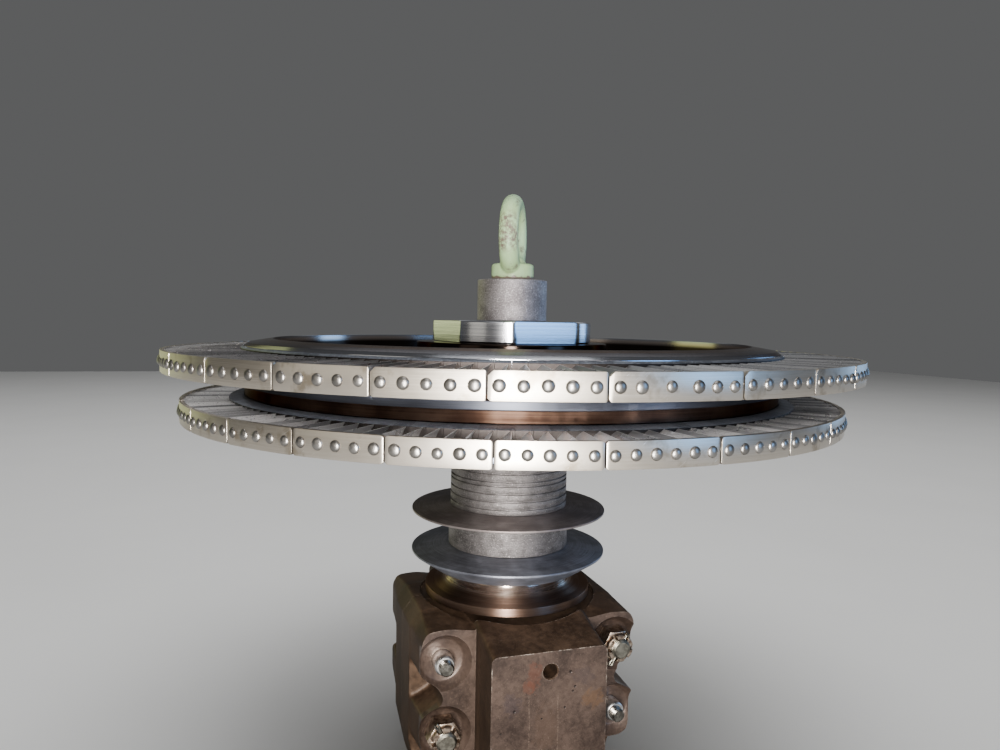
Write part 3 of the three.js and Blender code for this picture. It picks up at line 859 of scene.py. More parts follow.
# Painted light levels: the lower row is painted lighter, making up for light that the upper row and its
# shroud keep off it, and the upper row darker.
UPPER_BLADE_STEEL = blade_steel("upper_blade_steel", 0.75, 0.96, UPPER_ROW.root)
LOWER_BLADE_STEEL = blade_steel("lower_blade_steel", 1.05, 0.89, LOWER_ROW.root)
SHROUD_STEEL = shroud_steel()
RIVET_STEEL = rivet_steel()
UPPER_THROWER_STEEL = rim_worn_steel(
    "upper_thrower_steel", (0.175, 0.145, 0.138), (0.315, 0.275, 0.265), (0.62, 0.58, 0.54), 0.52)
LOWER_THROWER_STEEL = rim_worn_steel(
    "lower_thrower_steel", (0.115, 0.12, 0.142), (0.26, 0.27, 0.315), (0.60, 0.60, 0.60), 0.48)
CAST_IRON = cast_iron()
MACHINED_IRON = machined_iron()
BEARING_METAL = bearing_metal()
PIN_STEEL = fastener_steel("pin_steel", (0.62, 0.61, 0.59), (0.92, 0.91, 0.89), (0.94, 0.93, 0.90), 0.26)
PIN_TIP_STEEL = fastener_steel(
    "pin_tip_steel", (0.16, 0.15, 0.13), (0.34, 0.32, 0.28), (0.80, 0.77, 0.72), 0.22)
CASTLE_NUT_STEEL = fastener_steel(
    "castle_nut_steel", (0.13, 0.088, 0.064), (0.40, 0.32, 0.25), (0.66, 0.59, 0.50), 0.36)
STUD_STEEL = fastener_steel("stud_steel", (0.14, 0.13, 0.105), (0.27, 0.255, 0.21), (0.60, 0.57, 0.50), 0.36)


# Lifting gear and nut

def torus(name, radius, rod, centre_height, turn, steps=120, rod_steps=48):
    """A ring that stands upright in the plane turned by turn about the axis."""
    side, normal = directions(turn)
    up = Vector((0, 0, 1))
    points = []
    for angle in full_turn(steps):
        out = side * math.cos(angle) + up * math.sin(angle)
        centre = up * centre_height + out * radius
        for around_rod in full_turn(rod_steps):
            points.append(tuple(centre + (out * math.cos(around_rod) + normal * math.sin(around_rod)) * rod))
    return outward(new_piece(name, points, grid_faces(steps, rod_steps, closed=True)))


def eye_bolt():
    """The forged eye grows out of its collar through a flared foot."""
    ring_centre = SHROUD_TOP + EYE.seat + EYE.centre
    ring = torus("ring", EYE.ring, EYE.rod, ring_centre, math.radians(EYE.turn + PARKED_TURN))
    shank_end = EYE.seat - EYE.shank_depth
    collar_top = EYE.seat + EYE.collar_top
    collar = lathe("collar", rounded([
        (0, shank_end), (EYE.shank, shank_end, 1.5), (EYE.shank, EYE.seat),
        (EYE.collar, EYE.seat, 1.5), (EYE.collar, collar_top, 3), (EYE.foot, collar_top, 3),
        (EYE.foot_top, collar_top + EYE.foot_rise), (0, collar_top + EYE.foot_rise),
    ]), 96)
    piece = joined("eye_bolt_forging", [ring, collar])
    remeshed(piece, EYE.voxel, EYE.smoothing)
    return dress(piece, MINT, ROTOR, ["eye_bolt"], sharp=60)


def soft_minimum(first, second, softness):
    """The lesser of two lengths, with the edge between them eased."""
    return second - softness * math.log(math.exp((second - first) / softness) + 1)


def wheel_nut():
    """A round nut with four milled flats. The third number of a profile point is how far it lies inside."""
    steps = 720
    edge = NUT.edge
    chamfered = NUT.radius - NUT.chamfer
    profile = [
        (NUT.bore, NUT.bottom, 0), (chamfered, NUT.bottom, edge), (chamfered + edge, NUT.bottom + edge, 0),
        (NUT.radius, NUT.bottom + NUT.chamfer, 0), (NUT.radius, NUT.top - NUT.chamfer, 0),
        (chamfered + edge, NUT.top - edge, 0), (chamfered, NUT.top, edge), (NUT.bore, NUT.top, 0),
    ]
    points = []
    for angle in full_turn(steps):
        from_flat = (math.degrees(angle) - NUT.flats_turn - PARKED_TURN + 45) % 90 - 45
        flat = NUT.flat / math.cos(math.radians(from_flat))
        for radius, height, inset in profile:
            points.append(around(soft_minimum(radius, flat, NUT.softness) - inset, angle, height))
    piece = outward(new_piece("wheel_nut_milled", points, grid_faces(steps, len(profile), closed=True)))
    return dress(piece, NUT_STEEL, ROTOR, ["wheel_nut"], sharp=25)


# Turned parts of the rotor. The third number of a profile point is its fillet.

def turned_part(name, profile, material, node, steps, fillet_steps=4):
    piece = lathe(name, rounded(profile, fillet_steps), steps)
    return dress(piece, material, ROTOR, [node])


def end_cap():
    drill = EYE.shank + FIT
    floor = EYE.seat - EYE.shank_depth - FIT
    turned_part("shaft_end_cap_turned", [
        (0, END_CAP.bottom), (END_CAP.radius, END_CAP.bottom, 0.8),
        (END_CAP.radius, END_CAP.top, END_CAP.chamfer), (drill, END_CAP.top, 0.8), (drill, floor), (0, floor),
    ], CAP_STEEL, "shaft_end_cap", 160)


def wheel_disc():
    lower_floor = LOWER_ROW.bottom - FIT * 2
    upper_floor = UPPER_ROW.bottom - FIT * 2
    underside = [
        (SHAFT_BORE, HUB.bottom), (HUB.lower_radius, HUB.bottom, 2), (HUB.lower_radius, HUB.lower_foot, 6),
        (WEB.inner, WEB.bottom, 14), (WEB.outer, WEB.bottom, 12), (LOWER_LIP.foot, LOWER_LIP.foot_height, 6),
        (LOWER_LIP.inner, LOWER_LIP.bottom, 1), (LOWER_LIP.radius, LOWER_LIP.bottom, 1),
        (LOWER_LIP.radius, lower_floor, 0.5),
    ]
    rim = [
        (GROOVE.floor, lower_floor), (GROOVE.floor, WAIST.bottom), (GROOVE.lip, WAIST.bottom, 0.4),
        (GROOVE.lip, WAIST.shoulder_bottom, 1), (WAIST.shoulder, WAIST.shoulder_bottom, 0.7),
        (WAIST.shoulder, WAIST.shoulder_top, 0.7), (WAIST.neck, WAIST.shoulder_top, 1.5),
        (WAIST.neck, upper_floor), (GROOVE.floor, upper_floor), (GROOVE.floor, GROOVE.upper_top),
    ]
    top_side = [
        (GROOVE.lip, GROOVE.upper_top, 0.3), (GROOVE.lip, UPPER_LIP.height, 0.5),
        (UPPER_LIP.face, UPPER_LIP.face_height, 0.6), (UPPER_LIP.inner, UPPER_LIP.top, 0.9),
        (UPPER_LIP.foot, UPPER_LIP.foot_height, 4), (WEB.outer, WEB.top, 8), (WEB.inner, WEB.top, 12),
        (HUB.radius, HUB.top_foot, 6), (HUB.radius, HUB.top, 1.5), (SHAFT_BORE, HUB.top),
    ]
    profile = [*underside, *rim, *top_side]
    turned_part("wheel_disc_turned", profile, DISC_STEEL, "wheel_disc", 360)


def groove_heights():
    heights = [SLEEVE_GROOVES.lowest + SLEEVE_GROOVES.pitch * i for i in range(SLEEVE_GROOVES.lower)]
    second = heights[-1] + SLEEVE_GROOVES.step
    return heights + [second + SLEEVE_GROOVES.pitch * i for i in range(SLEEVE_GROOVES.upper)]


def gland_sleeve():
    floor = SLEEVE.radius - SLEEVE.depth
    grooves = []
    for low in groove_heights():
        high = low + SLEEVE.groove
        grooves += [(SLEEVE.radius, low, 0.35), (floor, low, 0.3)]
        grooves += [(floor, high, 0.3), (SLEEVE.radius, high, 0.35)]
    turned_part("gland_sleeve_turned", [
        (SHAFT_BORE, SLEEVE.bottom), (SLEEVE.radius, SLEEVE.bottom, 0.6), *grooves,
        (SLEEVE.radius, SLEEVE.top, 0.6), (SHAFT_BORE, SLEEVE.top),
    ], SLEEVE_STEEL, "gland_sleeve", 256, 2)


def thrower(name, sizes, top_radius, material):
    turned_part(name + "_turned", [
        (SHAFT_BORE, sizes.bottom), (sizes.under, sizes.bottom, 2),
        (THROWER.radius, sizes.rim_top - THROWER.edge, 0.6), (THROWER.radius, sizes.rim_top, 0.6),
        (top_radius + THROWER.top_foot, sizes.top, 4), (SHAFT_BORE, sizes.top),
    ], material, name, 288)


def spacer_sleeve():
    turned_part("spacer_sleeve_turned", [
        (SHAFT_BORE, SPACER.bottom), (SPACER.radius, SPACER.bottom, 0.6),
        (SPACER.radius, SPACER.top, 0.6), (SHAFT_BORE, SPACER.top),
    ], SLEEVE_STEEL, "spacer_sleeve", 256)


def oil_collar():
    top = LOWER_THROWER.bottom - FIT
    turned_part("oil_collar_turned", [
        (SHAFT_BORE, COLLAR.bottom), (COLLAR.radius, COLLAR.bottom, 0.8),
        (COLLAR.radius, COLLAR.rim_top, 0.8),
        (COLLAR.shelf, COLLAR.shelf_height, 6), (COLLAR.flare, COLLAR.flare_height, 6),
        (COLLAR.neck, COLLAR.neck_foot, 6), (COLLAR.neck, top, 0.5), (SHAFT_BORE, top),
    ], COLLAR_STEEL, "oil_collar", 320, 6)


# Blade rows and shrouds

def blade_angles(row):
    """Angles of the row's blades, from the first one round."""
    angles = list(row.closing)
    for segment in range(PLAIN_SEGMENTS):
        for i in range(BLADES_PER_SEGMENT):
            angles.append(row.first_gap + row.pitch * (segment + (i + 0.5) / BLADES_PER_SEGMENT))
    return angles


def blade_section(row):
    """Outline of a blade as (along the turn, height): down its back and up its hollow side."""
    half = (row.top - row.bottom) / 2
    tip = BLADE.bulge / 2
    outline = []
    for i in range(BLADE.steps + 1):
        u = 1 - 2 * i / BLADE.steps
        outline.append((tip - BLADE.bulge * (1 - u * u), row.top + (u - 1) * half))
    for i in range(BLADE.steps + 1):
        u = 2 * i / BLADE.steps - 1
        outline.append((tip + BLADE.edge - BLADE.hollow * (1 - u * u), row.top + (u - 1) * half))
    return outline


def blade(row, angle):
    """Points and faces of one blade. Its last side face but two is its upper edge, which the material paints
    as a bright highlight.
    """
    section = blade_section(row)
    count = len(section)
    out, along = directions(angle)
    points = []
    for radius in (row.root - BLADE.sunk, row.shroud - SHROUD.thickness - BLADE.tip_gap):
        for offset, height in section:
            place = out * radius + along * offset
            points.append((place.x, place.y, SHROUD_TOP + height))
    faces = []
    for k in range(count):
        after = (k + 1) % count
        faces.append((k, after, after + count, k + count))
    faces.append(tuple(range(count, 2 * count)))
    faces.append(tuple(reversed(range(count))))
    return points, faces


def root_block(row, start, end):
    """The platform that one blade stands on, between its joints."""
    inner = GROOVE.floor + FIT
    lip = GROOVE.lip + FIT
    bottom = row.bottom - FIT
    fillet = ROOT_BLOCK.fillet
    profile = rounded([
        (inner, bottom), (row.root, bottom, fillet), (row.root, row.root_top, fillet),
        (lip, row.lip_top, fillet), (lip, row.groove_top), (inner, row.groove_top),
    ], 2)
    count = len(profile)
    last = ROOT_BLOCK.columns - 1
    points = []
    for column in range(ROOT_BLOCK.columns):
        angle = start + (end - start) * column / last
        points += [around(radius, angle, height) for radius, height in profile]
    faces = grid_faces(ROOT_BLOCK.columns, count, closed=False)
    faces.append(tuple(range(count)))
    faces.append(tuple(reversed(range(last * count, (last + 1) * count))))
    return points, faces


def blade_row(name, row, node, material, draw):
    """All the blades of a row on their root blocks, which meet halfway between them."""
    angles = sorted(math.radians((angle + 360) % 360 + ROW_TURN) for angle in blade_angles(row))
    joint = ROOT_BLOCK.joint / row.root
    full = 2 * math.pi
    shells = Shells()
    for i, angle in enumerate(angles):
        before = angles[i - 1] - (full if i == 0 else 0)
        after = angles[(i + 1) % len(angles)] + (full if i == len(angles) - 1 else 0)
        points, faces = blade(row, angle)
        # Marks each blade's upper edge face, which the material paints as a bright highlight.
        edge = [0] * (len(faces) - 3) + [1, 0, 0]
        shells.add(points, faces, shade=draw.random(), root=0, edge=edge)
        points, faces = root_block(row, (before + angle) / 2 + joint, (angle + after) / 2 - joint)
        shells.add(points, faces, shade=draw.random(), root=1, edge=0)
    return dress(shells.piece(name), material, ROTOR, [node], sharp=40)


def corner_drop(distance, kind, size):
    """How far a corner takes the edge of a segment in, at this distance from its end."""
    if distance >= size:
        return 0
    if kind == "cut":
        return size - distance
    return size - math.sqrt(size * size - (size - distance) ** 2)


def segment_columns(length):
    """Distances along a segment: close together at its ends, where its corners are."""
    reach = CORNER_COLUMNS[-1]
    plain = length - 2 * reach
    count = max(2, round(plain / SHROUD.step))
    middle = [reach + plain * i / count for i in range(1, count)]
    return CORNER_COLUMNS + middle + [length - distance for distance in reversed(CORNER_COLUMNS)]


def shroud_segment(row, start, end, corners):
    """One curved plate. corners are (kind, size) for left top, left bottom, right top and right bottom."""
    length = math.radians(end - start) * row.shroud - SHROUD.gap
    outer, inner = row.shroud, row.shroud - SHROUD.thickness
    left_top, left_bottom, right_top, right_bottom = corners
    columns = segment_columns(length)
    points = []
    for distance in columns:
        angle = row_angle(start) + (distance + SHROUD.gap / 2) / row.shroud
        rest = length - distance
        top = row.top - corner_drop(distance, *left_top) - corner_drop(rest, *right_top)
        bottom = row.bottom + corner_drop(distance, *left_bottom) + corner_drop(rest, *right_bottom)
        points += [around(outer, angle, bottom), around(outer, angle, top),
                   around(inner, angle, top), around(inner, angle, bottom)]
    faces = grid_faces(len(columns), 4, closed=False)
    last = 4 * (len(columns) - 1)
    faces += [(0, 1, 2, 3), (last + 3, last + 2, last + 1, last)]
    return points, faces


def shroud(name, row, node, corners, draw):
    """The riveted plates round a row. The last one is the longer closing plate."""
    plates = Shells()
    for segment in range(PLAIN_SEGMENTS + 1):
        start = row.first_gap + row.pitch * segment
        end = start + row.pitch if segment < PLAIN_SEGMENTS else row.first_gap + 360
        plates.add(*shroud_segment(row, start, end, corners), shade=draw.random())
    piece = bevelled(plates.piece(name), SHROUD.bevel, 2, 50)
    return dress(piece, SHROUD_STEEL, ROTOR, [node], sharp=40)


def tenon_heads(name, row, draw):
    """The hammered heads that hold the shroud to its blades, each a little off true."""
    steps = TENON.steps
    rings = len(TENON_PROFILE)
    middle = (row.top + row.bottom) / 2
    top_ring = (rings - 1) * steps
    faces = grid_faces(rings, steps, closed=False)
    faces += [(top_ring + step, top_ring + (step + 1) % steps, rings * steps) for step in range(steps)]
    faces.append(tuple(reversed(range(steps))))
    heads = Shells()
    for angle in map(row_angle, blade_angles(row)):
        centre = Vector(around(row.shroud - TENON.sunk, angle, middle + draw.uniform(-0.35, 0.35)))
        out, side = directions(angle)
        radius = TENON.radius * draw.uniform(0.92, 1.06)
        height = (TENON.height + TENON.sunk) * draw.uniform(0.85, 1.1)
        lean = Vector((side.x, side.y, 1)) * draw.uniform(-0.12, 0.12)
        points = []
        for share, rise in TENON_PROFILE:
            for turn in full_turn(steps):
                spread = side * math.cos(turn) + Vector((0, 0, math.sin(turn)))
                points.append(tuple(centre + spread * radius * share + (out + lean * rise) * height * rise))
        points.append(tuple(centre + (out + lean) * height * TENON.crown))
        heads.add(points, faces, shade=draw.random())
    return dress(heads.piece(name), RIVET_STEEL, ROTOR, sharp=60)


# Bearing block

def flange_outline():
    w, top, foot = BLOCK.half_width, BLOCK.top, BLOCK.foot
    low = -CAST.spare
    return [
        (-foot, low), (foot, low), (foot, 0), (w, BLOCK.foot_top), (w, top - BLOCK.corner_z),
        (w - BLOCK.corner_x, top), (BLOCK.corner_x - w, top), (-w, top - BLOCK.corner_z),
        (-w, BLOCK.foot_top), (-foot, 0),
    ]


def lug_shell(side):
    """The two lugs of one side, which taper from the flange to their face and have a notch between them."""
    proud = LUG.front + CAST.spare
    points = []
    for direction in (-1, 1):
        points += [(side * x, direction * LUG.root, z) for x, z in LUG_ROOT]
        points += [(side * x, direction * proud, z) for x, z in LUG_FACE]
    piece = hull("lugs", points)
    notch = [(side * x, z) for x, z in NOTCH]
    boolean(piece, prism("notch", notch, -FAR, -BLOCK.flange_depth, across_y))
    return boolean(piece, prism("notch", notch, BLOCK.flange_depth, FAR, across_y))


def pad_profile():
    """Side view of the pad body as (distance forward, height), a little proud of its machined face."""
    top, middle, proud = BLOCK.top, BLOCK.middle, PAD.front + CAST.spare
    return [
        (0, -CAST.spare), (PAD.foot, -CAST.spare), (PAD.foot, 0), (PAD.front, middle - PAD.half),
        (proud, middle - PAD.half), (proud, middle + PAD.half), (PAD.front, middle + PAD.half),
        (PAD.shoulder, middle + PAD.shoulder_half), (PAD.crown, top), (0, top),
    ]


def cast_body():
    """The whole block as it left the foundry, proud of its machined faces."""
    depth = BLOCK.flange_depth
    shells = [prism("flange", flange_outline(), -depth, depth, across_y)]
    for side in (-1, 1):
        shells.append(lug_shell(side))
        profile = [(side * y, z) for y, z in pad_profile()]
        pad = prism("pad", profile, -PAD.half_width, PAD.half_width, lambda y, z, x: (x, y, z))
        shells.append(bevelled(pad, PAD.edge, 4, 50))
    return remeshed(joined("cast", shells), CAST.voxel, CAST.smoothing)


def tapped_hole(front):
    """Cutter of the screw hole in a pad, with its chamfer. front is -1 or 1 along Y."""
    face, floor = PAD.front + 1, PAD.front - PAD.hole_depth
    profile = [(0, face), (PAD.hole + 2, face), (PAD.hole, PAD.front - 1), (PAD.hole, floor), (0, floor - 4)]
    return turned_along_y("hole", [(r, front * y) for r, y in profile], 0, BLOCK.middle + PAD.hole_rise)


def recess(x, z):
    """Cutter of the recess round a fastener, whose wall widens towards the lug's face."""
    mouth = -LUG.front - 2
    floor = -LUG.seat
    spread = (LUG.mouth - LUG.floor) / (LUG.front - LUG.seat)
    wide = LUG.floor + spread * (floor - mouth)
    profile = [
        (0, floor), (LUG.floor - 1.5, floor), (LUG.floor + 0.4, floor - 1.2), (wide, mouth), (0, mouth),
    ]
    return turned_along_y("recess", profile, x, z, 96)


def machine_block(block):
    """Cuts the machined faces, the bore and the holes into the casting."""
    inner = PAD.half_width + PAD.side_gap
    for front in (-1, 1):
        near, far = sorted((front * PAD.front, front * FAR))
        boolean(block, box("cut", (-FAR, near, -FAR), (FAR, far, FAR)))
        near, far = sorted((front * LUG.front, front * FAR))
        for side in (-1, 1):
            low, high = sorted((side * inner, side * FAR))
            boolean(block, box("cut", (low, near, -FAR), (high, far, FAR)))
        boolean(block, tapped_hole(front))
    boolean(block, box("cut", (-FAR, -FAR, -FAR), (FAR, FAR, 0)))
    boolean(block, prism("cut", circle(BORE.housing, 96), -FAR, FAR, upright))
    boolean(block, prism("cut", circle(BORE.recess, 128), BORE.recess_floor, FAR, upright))
    for x, z in FASTENERS:
        boolean(block, recess(x, z))
        boolean(block, bar_along_y("cut", DOWEL.radius + FIT, -FAR, DOWEL.depth + FIT, x, z))
    return block


def is_machined(face):
    """Whether a face of the block is a cut plane, its base, or a wall of a recess of the front face."""
    square, near = 0.999, 0.1
    centre = face.center / MM
    if abs(face.normal.y) > square:
        if any(abs(abs(centre.y) - plane) < near for plane in (PAD.front, LUG.front, LUG.seat, SPLIT_GAP)):
            return True
    if abs(face.normal.z) > square and centre.z < near:
        return True
    in_recess = any(math.hypot(centre.x - x, centre.z - z) < LUG.mouth for x, z in FASTENERS)
    return in_recess and centre.y < -LUG.seat - near


def bearing_block():
    """The block as cast and machined, split in the middle into its two halves."""
    front = machine_block(cast_body())
    rear = add_object("bearing_body_rear_cast", front.data.copy())
    front.name = "bearing_cap_front_cast"
    boolean(front, box("cut", (-FAR, -SPLIT_GAP, -FAR), (FAR, FAR, FAR)))
    boolean(rear, box("cut", (-FAR, -FAR, -FAR), (FAR, SPLIT_GAP, FAR)))
    for piece, node in ((front, "bearing_cap_front"), (rear, "bearing_body_rear")):
        piece.data.materials.clear()
        piece.data.materials.append(CAST_IRON)
        piece.data.materials.append(MACHINED_IRON)
        for face in piece.data.polygons:
            face.material_index = int(is_machined(face))
        dress(piece, CAST_IRON, BLOCK_BODY, [node], sharp=35)


# Fasteners of the block

def dowel(name, x, z):
    """A ground dowel with a small threaded end to draw it by."""
    shoulder = -DOWEL.shoulder
    body = turned_along_y("body", [
        (0, DOWEL.depth), (DOWEL.radius, DOWEL.depth), (DOWEL.radius, shoulder + 2.5),
        (DOWEL.radius - 0.5, shoulder + 1.2), (DOWEL.radius - 1.6, shoulder + 0.3),
        (DOWEL.thread - 1, shoulder), (0, shoulder),
    ], x, z, 64)
    tip = threaded_bar("tip", DOWEL.thread, DOWEL.thread_depth, DOWEL.pitch, -DOWEL.tip, shoulder + 1, x, z,
                       chamfer=1.4)
    body_faces = len(body.data.polygons)
    piece = joined(name + "_ground", [body, tip])
    piece.data.materials.append(PIN_STEEL)
    piece.data.materials.append(PIN_TIP_STEEL)
    for face in piece.data.polygons[body_faces:]:
        face.material_index = 1
    return dress(piece, PIN_STEEL, BLOCK_BODY, [name], sharp=30)


def stud(name, x, z):
    thread_end = -LUG.seat + 2
    threaded = threaded_bar("threaded", STUD.radius, STUD.thread_depth, STUD.pitch, -STUD.tip,
                            thread_end, x, z, 48, 8)
    profile = [(0, DOWEL.depth), (STUD.radius, DOWEL.depth), (STUD.radius, thread_end), (0, thread_end)]
    shank = turned_along_y("shank", profile, x, z, 48)
    piece = joined(name + "_threaded", [threaded, shank])
    return dress(piece, STUD_STEEL, BLOCK_BODY, [name], sharp=35)


def crown_slot(turn):
    """Cutter of two opposite slots of a castle nut on the Y axis, with round floors."""
    half = CASTLE_NUT.slot / 2
    centre = CASTLE_NUT.slot_depth - CASTLE_NUT.crown_front - half
    arc = [math.pi * k / 8 for k in range(9)]
    outline = [(-half, -FAR), (half, -FAR)]
    outline += [(half * math.cos(a), centre + half * math.sin(a)) for a in arc]
    cos, sin = math.cos(turn), math.sin(turn)
    reach = CASTLE_NUT.slot_reach
    return prism("slot", outline, -reach, reach,
                 lambda across, y, along: (along * cos - across * sin, y, along * sin + across * cos))


def castle_nut(name, x, z):
    """A hexagon nut with six slots in its crown."""
    corner = CASTLE_NUT.flats / 2 / math.cos(math.pi / 6)
    back = -LUG.seat - FIT
    front, crown, crown_front = -CASTLE_NUT.front, CASTLE_NUT.crown, -CASTLE_NUT.crown_front
    nut = prism(name + "_slotted", circle(corner, 6), front, back, across_y)
    chamfer = turned_along_y("chamfer", [
        (0, back), (corner - 1, back), (corner + 0.2, back - 0.9), (corner + 0.2, front + 1.4),
        (crown + 0.8, front), (0, front),
    ], 0, 0, 72)
    boolean(nut, chamfer, "INTERSECT")
    crown_body = turned_along_y("crown", [
        (0, back - 1), (crown, back - 1), (crown, crown_front + 1),
        (crown - 1, crown_front), (0, crown_front),
    ], 0, 0, 72)
    boolean(nut, crown_body, "UNION")
    boolean(nut, bar_along_y("bore", STUD.radius + 0.1, -FAR, FAR, 0, 0, 64))
    for i in range(3):
        boolean(nut, crown_slot(math.pi / 3 * i))
    nut.data.transform(Matrix.Translation((x * MM, 0, z * MM)))
    bevelled(nut, 0.25, 2, 35)
    return dress(nut, CASTLE_NUT_STEEL, BLOCK_BODY, [name], sharp=35)


def split_pin_legs():
    """The two legs as (along, forward, side): a shared loop and shank, and ends bent front and back."""
    out = CASTLE_NUT.crown
    shank = [(-out - 6, 0, 0.9), (-out - 4, 0, 1.9), (-out - 1.5, 0, 1.3), (-out, 0, 0.75), (out, 0, 0.75)]
    front_end = [(out + 2.2, -1.2, 1.2), (out + 2.8, -4.2, 1.6), (out + 1.6, -7.5, 2.0)]
    back_end = [(out + 1.8, 1.4, 1.2), (out + 2.4, 4.6, 1.6), (out + 1.4, 8.4, 1.8)]
    mirrored = [(along, forward, -side) for along, forward, side in shank + back_end]
    return [shank + front_end, mirrored]


def split_pin(name, x, z, turn):
    """A split pin through two slots: a loop on one side, two bent legs on the other."""
    y = CASTLE_NUT.slot_depth / 2 - CASTLE_NUT.crown_front + SPLIT_PIN.rise
    cos, sin = math.cos(turn), math.sin(turn)
    curve = bpy.data.curves.new(name, "CURVE")
    curve.dimensions = "3D"
    curve.bevel_depth = SPLIT_PIN.radius * MM
    curve.bevel_resolution = 4
    curve.use_fill_caps = True
    for leg in split_pin_legs():
        spline = curve.splines.new("NURBS")
        spline.points.add(len(leg) - 1)
        spline.order_u = 3
        spline.use_endpoint_u = True
        for point, (along, forward, side) in zip(spline.points, leg):
            place = (x + along * cos - side * sin, y + forward, z + along * sin + side * cos)
            point.co = (*(value * MM for value in place), 1)
    holder = add_object("holder", curve)
    mesh = bpy.data.meshes.new_from_object(holder.evaluated_get(bpy.context.evaluated_depsgraph_get()))
    bpy.data.objects.remove(holder)
    bpy.data.curves.remove(curve)
    return dress(add_object(name, mesh), STUD_STEEL, BLOCK_BODY, sharp=50)


# CAD nodes that keep their shape

def repaint(node, material):
    for slot in frame["nodes"][node].material_slots:
        slot.material = material


# Camera, light and floor

CAMERA = Sizes(
    x=-252.6, y=-768.1, z=470.75, turn=-18.2, pitch=4.15, yaw=-0.81, roll=-1.04,
    lens=27.04, sensor=36, clip_start=0.01, clip_end=50,
)

# Soft boxes in metres and watts: name, azimuth, distance, height, size, power, colour and target.
# Azimuth 0 is where the camera stands.

ROTOR_LIGHTS = [
    ("front", 0, 0.98, 0.36, (0.14, 0.56), 31, (1.0, 0.965, 0.92), (0, 0, 0.36)),
    ("rear_high", 176, 1.7, 1.7, (2.2, 1.0), 3.5, (0.90, 0.95, 1.0), (0, 0, 0.44)),
    ("left", -125, 2.6, 0.9, (1.4, 2.0), 8.5, (0.88, 1.0, 0.42), (0, 0, 0.35)),
    ("left_front", -48, 1.6, 0.8, (0.7, 0.9), 1.6, (1.0, 0.95, 0.82), (0, 0, 0.35)),
    ("right", 52, 1.9, 0.75, (0.6, 0.9), 8.5, (0.22, 0.50, 1.0), (0, 0, 0.35)),
    ("right_rear", 122, 2.6, 0.9, (0.8, 1.3), 12, (0.28, 0.55, 1.0), (0, 0, 0.35)),
]
TOP_LIGHT = ("top", 10, 0.6, 2.6, (1.6, 1.6), 20, (1.0, 1.0, 1.0), (0, 0, 0.35))
FLOOR_LIGHT = ("floor_wash", 180, 0.5, 4.0, (6, 6), 200, (1.0, 1.0, 1.0), (0, 0.3, 0))
BLADE_LIGHT = ("front_high", -4, 0.66, 0.58, (0.5, 0.12), 17, (0.99, 0.97, 0.97), (0, 0, 0.42))

WORLD = Sizes(colour=(0.86, 0.87, 0.88), strength=0.13)
FLOOR_REACH = 6000


def camera():
    """The photograph's camera: turned about the vertical, tipped down and rolled."""
    data = bpy.data.cameras.new("camera")
    data.lens = CAMERA.lens
    data.sensor_width = CAMERA.sensor
    data.clip_start = CAMERA.clip_start
    data.clip_end = CAMERA.clip_end
    eye = add_object("camera", data)
    heading = Matrix.Rotation(math.radians(CAMERA.turn - CAMERA.yaw), 4, "Z")
    tip = Matrix.Rotation(math.radians(90 - CAMERA.pitch), 4, "X")
    roll = Matrix.Rotation(math.radians(-CAMERA.roll), 4, "Z")
    place = Matrix.Translation(Vector((CAMERA.x, CAMERA.y, CAMERA.z)) * MM)
    eye.matrix_world = place @ heading @ tip @ roll
    bpy.context.scene.camera = eye


def soft_light(name, azimuth, distance, height, size, power, colour, target):
    angle = math.radians(FRONT + CAMERA.turn + azimuth)
    data = bpy.data.lights.new(name, "AREA")
    data.shape = "RECTANGLE"
    data.size, data.size_y = size
    data.energy = power
    data.color = colour
    lamp = add_object(name, data)
    lamp.visible_camera = False
    lamp.location = (distance * math.cos(angle), distance * math.sin(angle), height)
    lamp.rotation_euler = (Vector(target) - lamp.location).to_track_quat("-Z", "Y").to_euler()
    return lamp


def link_light(lamp, targets, state):
    """Lets a lamp light only the targets, for INCLUDE, or everything else, for EXCLUDE."""
    receivers = bpy.data.collections.new(lamp.name + "_receivers")
    for target in targets:
        receivers.objects.link(target)
    for entry in receivers.collection_objects:
        entry.light_linking.link_state = state
    lamp.light_linking.receiver_collection = receivers


def lights(ground):
    for light in ROTOR_LIGHTS:
        link_light(soft_light(*light), [ground], "EXCLUDE")
    soft_light(*TOP_LIGHT)
    link_light(soft_light(*FLOOR_LIGHT), [ground], "INCLUDE")


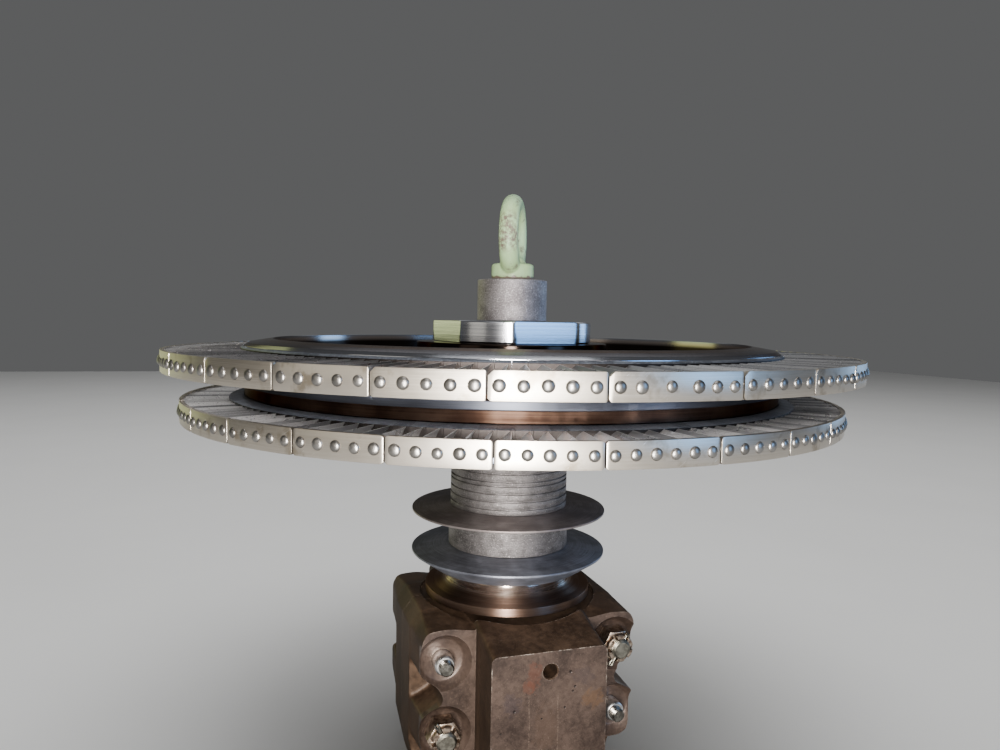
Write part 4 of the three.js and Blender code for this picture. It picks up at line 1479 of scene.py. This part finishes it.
def world():
    studio = bpy.data.worlds.new("studio")
    studio.use_nodes = True
    background = studio.node_tree.nodes["Background"]
    background.inputs["Color"].default_value = rgba(WORLD.colour)
    background.inputs["Strength"].default_value = WORLD.strength
    bpy.context.scene.world = studio


def floor():
    look = Look("pale_floor", {"Roughness": 0.8})
    shade = look.noise(3, 3).mix((0.70, 0.70, 0.69), (0.76, 0.76, 0.75))
    corners = [(x * FLOOR_REACH, y * FLOOR_REACH, 0) for x, y in ((-1, -1), (1, -1), (1, 1), (-1, 1))]
    ground = new_piece("studio_floor", corners, [(0, 1, 2, 3)])
    ground.data.materials.append(look.finish(shade))
    return ground


# Everything together

camera()
lights(floor())
world()

eye_bolt()
end_cap()
wheel_nut()
wheel_disc()

dice = random.Random(7)
upper_blades = blade_row("upper_blades", UPPER_ROW, "upper_blade_row", UPPER_BLADE_STEEL, dice)
lower_blades = blade_row("lower_blades", LOWER_ROW, "lower_blade_row", LOWER_BLADE_STEEL, dice)
link_light(soft_light(*BLADE_LIGHT), [upper_blades, lower_blades], "INCLUDE")
shroud("upper_shroud_plates", UPPER_ROW, "upper_shroud", UPPER_CORNERS, dice)
shroud("lower_shroud_plates", LOWER_ROW, "lower_shroud", LOWER_CORNERS, dice)
tenon_heads("upper_tenon_heads", UPPER_ROW, dice)
tenon_heads("lower_tenon_heads", LOWER_ROW, dice)

gland_sleeve()
thrower("upper_thrower", UPPER_THROWER, SLEEVE.radius, UPPER_THROWER_STEEL)
spacer_sleeve()
thrower("lower_thrower", LOWER_THROWER, SPACER.radius, LOWER_THROWER_STEEL)
oil_collar()

bearing_block()
for corner, place in DOWELS.items():
    dowel("dowel_" + corner, *place)
for corner, place in STUDS.items():
    stud("stud_" + corner, *place)
for corner, place in STUDS.items():
    castle_nut("castle_nut_" + corner, *place)
for corner, place in STUDS.items():
    split_pin("split_pin_" + corner, *place, math.radians(SPLIT_PIN.turns[corner]))

repaint("shaft", CAP_STEEL)
repaint("journal_shell_front", BEARING_METAL)
repaint("journal_shell_rear", BEARING_METAL)
